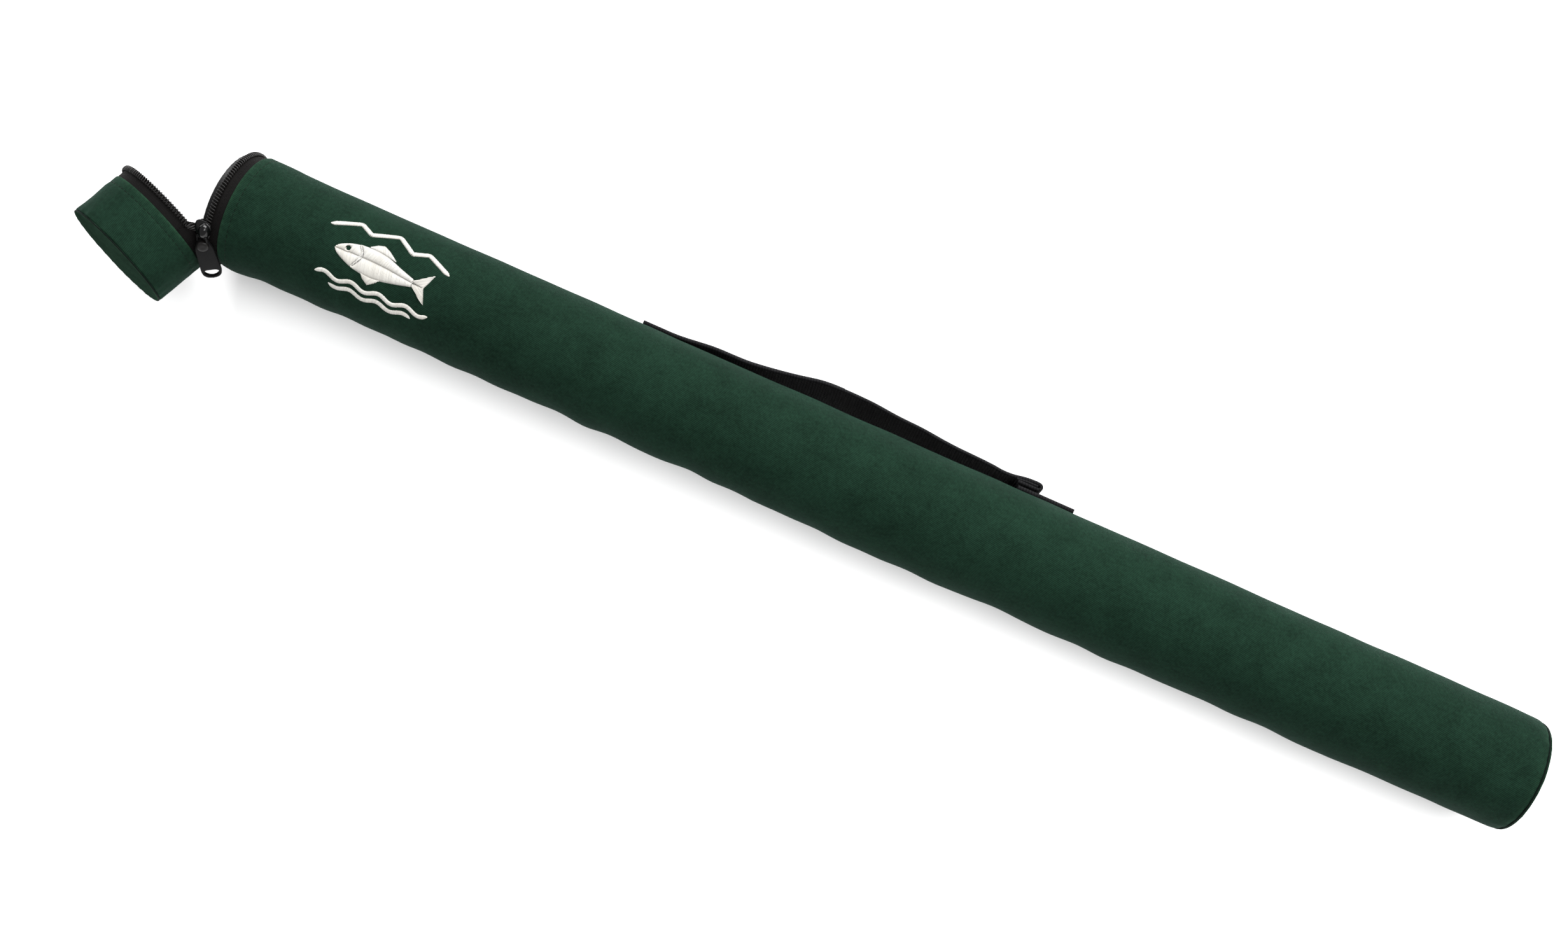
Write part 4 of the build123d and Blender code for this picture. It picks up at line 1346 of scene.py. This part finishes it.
# Emblem shapes are (along X, across towards +Y) from its middle.
FISH_TOP = catmull([(-27.0, 1.0), (-25.2, 3.4), (-20.5, 5.8), (-14.0, 7.6), (-6.0, 8.2),
                    (2.0, 7.2), (10.5, 4.4), (19.0, 1.9)], 8)
FISH_LOW = catmull([(19.0, -2.4), (10.5, -4.6), (2.0, -6.4), (-6.0, -6.9), (-14.0, -5.8),
                    (-20.5, -3.6), (-25.2, -1.2), (-27.0, 1.0)], 8)
SPINE = catmull([(-26.8, 1.0), (-14, 1.5), (2, 1.3), (19, -0.2)], 10)
EYE_HOLE = np.array([(-20.0 + 1.35 * math.cos(turned), 3.3 + 1.35 * math.sin(turned))
                     for turned in np.linspace(0, 2 * math.pi, 20, endpoint=False)])
gill_line = catmull([(-14.2, 7.0), (-12.0, 3.6), (-12.0, 0.6), (-14.6, -4.6)], 8)
GILL = np.vstack([gill_line + [0.5, 0], gill_line[::-1] - [0.55, 0]])
TAIL_UP = [(17.6, 0.2), (20.5, 2.2), (28.8, 8.3), (27.2, 3.4), (25.6, -0.4)]
TAIL_LOW = [(17.6, -0.4), (25.6, -0.4), (27.2, -4.2), (28.8, -8.8), (20.5, -2.8)]
FIN_UP = [(-10.0, 8.4), (-6.4, 11.2), (-3.0, 12.4), (1.0, 10.6), (6.8, 6.6), (-2, 8.0)]
FIN_LOW = [(-9.0, -6.2), (-7.2, -8.6), (-3.4, -11.0), (0.2, -8.4), (2.4, -6.0), (-3, -6.6)]
# (outlines, stitch direction in degrees, height)
FILLS = [([np.vstack([FISH_TOP, SPINE[::-1]]), EYE_HOLE, GILL], 72, 0.85),
         ([np.vstack([SPINE, FISH_LOW]), GILL], 104, 0.85),
         ([TAIL_UP], 30, 0.6), ([TAIL_LOW], -34, 0.6),
         ([FIN_UP], 118, 0.5), ([FIN_LOW], 60, 0.5)]
# wavy lines under the fish: (across, half length, wave height)
WAVES = [(-14.4, 33.0, 1.25), (-18.9, 24.0, 1.1)]
# zigzag line over the fish
RIDGE = np.array([(-35.0, 12.4), (-20.0, 19.2), (-12.5, 15.4), (1.5, 21.6), (12.0, 14.8),
                  (20.5, 18.2), (35.0, 11.4)])


def inside_runs(outlines, direction):
    """Ends of every stitch line inside a set of closed outlines (even-odd)."""
    cos, sin = math.cos(direction), math.sin(direction)
    basis = np.array([[cos, sin], [-sin, cos]])     # rows: along the stitch, across
    loops = [np.asarray(outline, float) @ basis.T for outline in outlines]
    low = min(loop[:, 1].min() for loop in loops)
    high = max(loop[:, 1].max() for loop in loops)
    runs = []
    scan = low + THREAD_PITCH * 0.5
    while scan < high:
        y = scan + rng.uniform(-0.02, 0.02)
        hits = []
        for loop in loops:
            after = np.roll(loop, -1, 0)
            cut = (loop[:, 1] <= y) != (after[:, 1] <= y)
            start, end = loop[cut], after[cut]
            share = (y - start[:, 1]) / (end[:, 1] - start[:, 1])
            hits += list(start[:, 0] + share * (end[:, 0] - start[:, 0]))
        hits.sort()
        for k in range(0, len(hits) - 1, 2):
            if hits[k + 1] - hits[k] > 0.25:
                runs.append((np.array([hits[k], y]) @ basis, np.array([hits[k + 1], y]) @ basis))
        scan += THREAD_PITCH
    return runs


def on_sleeve(flat, lift):
    """Emblem coordinates onto the sleeve, lifted off it."""
    angle = 90 + np.degrees((EMBLEM_Y + flat[:, 1]) / RADIUS)
    x = EMBLEM_X + flat[:, 0]
    return on_tube(x, angle, RADIUS + lift + sleeve_relief(x, angle, CLOTH_R))


def add_thread(threads, start, end, height, steps=7):
    """One thread bowed over the cloth, lower where it is short."""
    length = np.linalg.norm(end - start)
    share = np.linspace(0, 1, steps)
    bow = 1 - np.abs(2 * share - 1) ** 2.6
    sideways = np.array([-(end - start)[1], (end - start)[0]]) / max(length, 1e-6)
    flat = (start + (end - start) * share[:, None]
            + sideways * (rng.normal(0, 0.03) * np.sin(math.pi * share))[:, None])
    path = on_sleeve(flat, height * min(1.0, 0.55 + length / 8.0) * bow - 0.02)
    outward = path.copy()
    outward[:, 0] = 0
    radius = np.where((share == 0) | (share == 1), THREAD_R * 0.8, THREAD_R)
    threads.add(path, radius, rng.uniform(0.86, 1.06), up=outward, flat=0.8)


def satin(threads, line, width, slant=0.35, taper=0.8):
    """Satin stitches across a line, one after another, narrower at its two ends."""
    length = np.linalg.norm(np.diff(line, axis=0), axis=1).sum()
    line = resample(line, int(length / THREAD_PITCH) + 1)
    tangent = unit_tangents(line)
    normal = np.stack([-tangent[:, 1], tangent[:, 0]], 1)
    count = len(line)
    for k in range(count):
        from_end = min(k, count - 1 - k) * THREAD_PITCH
        narrowing = (1 - min(1.0, from_end / (width * 1.2))) ** 2 * taper
        half = width * (1 - narrowing) / 2 + rng.normal(0, 0.03)
        reach = normal[k] * half + tangent[k] * half * slant
        add_thread(threads, line[k] - reach, line[k] + reach, 0.45, steps=5)


def build_emblem():
    threads = Threads()
    for outlines, direction, height in FILLS:
        for start, end in inside_runs(outlines, math.radians(direction)):
            add_thread(threads, start, end, height)
    for across, span, wave in WAVES:
        x = np.linspace(-span, span, 90)
        satin(threads, np.stack([x, across + wave * np.sin(x * 2 * math.pi / 16.0)], 1), 2.3)
    # extra points near the corners keep them crisp
    ridge = [start + (end - start) * share for start, end in zip(RIDGE[:-1], RIDGE[1:])
             for share in (0.06, 0.35, 0.65, 0.94)]
    satin(threads, catmull([RIDGE[0]] + ridge[1:-1] + [RIDGE[-1]], 6), 2.5)
    threads.build("emblem_threads", ivory_thread, "thread", "emblem")


# ------------------------------------------------------------------ foam pads
PAD_RADIUS, PAD_THICK = 26.6, 3.9
PAD_FRAMES = 14
PAD_PUFF = 0.0013               # farthest a point may move, metres
# section: (share of the thickness, share of the radius)
PAD_SECTION = [(0, 0.02), (0, 0.4), (0, 0.75), (0.12, 0.95), (0.5, 1.0), (0.88, 0.95),
               (1, 0.75), (1, 0.4), (1, 0.02)]


def vertex_array(mesh):
    return np.array([vert.co[:] for vert in mesh.vertices])


def evaluated(piece):
    return piece.evaluated_get(bpy.context.evaluated_depsgraph_get())


def pad_blank(sides=72):
    """Plain disc, thick along X, remeshed evenly."""
    mesh = bpy.data.meshes.new("pad_tmp")
    work = bmesh.new()
    angles = np.linspace(0, 2 * math.pi, sides, endpoint=False)
    rings = [[work.verts.new(((deep - 0.5) * PAD_THICK / 1000,
                              PAD_RADIUS * wide * math.cos(angle) / 1000,
                              PAD_RADIUS * wide * math.sin(angle) / 1000)) for angle in angles]
             for deep, wide in PAD_SECTION]
    for ring, after in zip(rings[:-1], rings[1:]):
        for j in range(sides):
            k = (j + 1) % sides
            work.faces.new((ring[j], after[j], after[k], ring[k]))
    work.faces.new(rings[0])
    work.faces.new(rings[-1])
    bmesh.ops.recalc_face_normals(work, faces=work.faces)
    work.to_mesh(mesh)
    work.free()
    piece = bpy.data.objects.new("pad_tmp", mesh)
    bpy.context.collection.objects.link(piece)
    remesh = piece.modifiers.new("r", "REMESH")
    remesh.mode = "VOXEL"
    remesh.voxel_size = 0.0016
    remesh.use_smooth_shade = True
    even = bpy.data.meshes.new_from_object(evaluated(piece))
    piece.modifiers.clear()
    piece.data = even
    return piece


def puff(piece, start):
    """Points of the pad after cloth pressure has puffed it."""
    cloth = piece.modifiers.new("c", "CLOTH")
    settings = cloth.settings
    settings.use_pressure = True
    settings.uniform_pressure_force = 4.0
    settings.effector_weights.gravity = 0.0
    settings.quality = 5
    settings.mass = 0.2
    settings.tension_stiffness = 30
    settings.compression_stiffness = 30
    cloth.point_cache.frame_start = 1
    cloth.point_cache.frame_end = PAD_FRAMES
    scene = bpy.context.scene
    for number in range(1, PAD_FRAMES + 1):
        scene.frame_set(number)
        bpy.context.view_layer.update()
    move = vertex_array(evaluated(piece).data) - start
    scene.frame_set(1)
    piece.modifiers.clear()
    length = np.linalg.norm(move, axis=1, keepdims=True)
    return start + move * np.minimum(1, PAD_PUFF / np.maximum(length, 1e-9))


def build_pads():
    blank = pad_blank()
    points = vertex_array(blank.data)
    points = puff(blank, points)
    faces = [list(polygon.vertices) for polygon in blank.data.polygons]
    bpy.data.objects.remove(blank)
    low, high = box_mm("bottom_pad")
    for name, node, body, x in (
            ("pad_lid", "lid_pad", "lid", ZIP_X - LID_SEAM + 2.5 + 3.0),
            ("pad_bottom", "bottom_pad", "case", (low[0] + high[0]) / 2 - 0.2)):
        placed = posed(points * 1000 + [x, 0, 0], body)
        fix(make(name, placed, faces, foam), body, "foam", node)


# ------------------------------------------------------------------ floor, light, camera
MIDDLE = Vector((ZIP_X / 2000, 0, 0))           # metres


def build_floor():
    work = bmesh.new()
    bmesh.ops.create_grid(work, x_segments=1, y_segments=1, size=6.0)
    mesh = bpy.data.meshes.new("floor")
    work.to_mesh(mesh)
    work.free()
    floor = bpy.data.objects.new("floor", mesh)
    bpy.context.collection.objects.link(floor)
    floor.location = (MIDDLE.x, 0, CAD_BOX[0].z - 0.0015)
    mesh.materials.append(Shader("pale_floor").out((0.93, 0.93, 0.93, 1), 0.9,
                                                   Specular_IOR_Level=0.1))


def build_world():
    """White room whose reflections are dimmer than its light."""
    world = bpy.data.worlds.new("studio")
    bpy.context.scene.world = world
    bpy.context.scene.view_settings.view_transform = "Standard"
    world.use_nodes = True
    tree = world.node_tree
    background = tree.nodes["Background"]
    background.inputs["Color"].default_value = (1.0, 1.0, 1.0, 1)
    light_path = tree.nodes.new("ShaderNodeLightPath")
    strength = tree.nodes.new("ShaderNodeMapRange")
    strength.inputs["To Min"].default_value = 1.2
    strength.inputs["To Max"].default_value = 0.55
    tree.links.new(light_path.outputs["Is Glossy Ray"], strength.inputs["Value"])
    tree.links.new(strength.outputs[0], background.inputs["Strength"])


def softbox(name, location, target, size, power):
    light = bpy.data.lights.new(name, "AREA")
    light.shape = "RECTANGLE"
    light.size, light.size_y = size
    light.energy = power
    light.color = (1, 1, 1)
    holder = bpy.data.objects.new(name, light)
    bpy.context.collection.objects.link(holder)
    holder.location = location
    holder.rotation_euler = (target - location).to_track_quat("-Z", "Y").to_euler()


def build_camera(from_zip_x, y, z, roll, yaw, lens):
    """Camera looking down; place in millimetres, angles in radians."""
    data = bpy.data.cameras.new("camera")
    data.sensor_fit = "HORIZONTAL"
    data.sensor_width = 36.0
    data.lens = lens
    data.clip_start = 0.02
    data.clip_end = 30
    camera = bpy.data.objects.new("camera", data)
    bpy.context.collection.objects.link(camera)
    turned = Matrix.Rotation(yaw, 4, "Y") @ Matrix.Rotation(roll, 4, "Z")
    place = ((ZIP_X + from_zip_x) / 1000, y / 1000, z / 1000)
    camera.matrix_world = Matrix.Translation(place) @ turned
    bpy.context.scene.camera = camera


# ------------------------------------------------------------------ build
build_sleeve()
build_panel("end_panel_body", sleeve_cloth, x=0.10, outward=1, bulge=0.3, seed=21,
            rim=RADIUS - END_DROP + 0.1, body="case", node="end_panel")
build_cord("end_cord_body", x=END_X + 0.15, radius=RADIUS - END_DROP - 0.18, thickness=0.5,
           body="case", node="end_welt")
build_lid()
build_panel("end_panel_lid", panel_cloth_painted_reflection, x=ZIP_X - LID_SEAM - 0.75, outward=-1, bulge=0.5,
            seed=41, rim=RADIUS - 0.35, body="lid", node="lid_end_panel")
build_cord("end_cord_lid", x=ZIP_X - LID_SEAM - 0.12, radius=RADIUS - 0.52, thickness=0.42,
           body="lid", node="lid_end_welt")
build_body_tape()
build_lid_tape()
build_hinge_patch()
build_tape_webs()
build_chain()
build_slider()
build_pull()
build_cloth_stitches()
build_straps()
build_handle_stitches()
build_emblem()
build_pads()
build_floor()
build_world()
softbox("key", MIDDLE + Vector((-0.08, 1.6, 0.92)), MIDDLE, size=(2.2, 0.9), power=68)
softbox("fill", MIDDLE + Vector((0.80, 0.32, 1.25)), MIDDLE + Vector((0.42, 0, 0)),
        size=(0.8, 0.8), power=15)
build_camera(from_zip_x=376.15, y=-12.31, z=963.22, roll=0.417235, yaw=0.038779,
             lens=40.475747)

bpy.context.view_layer.update()
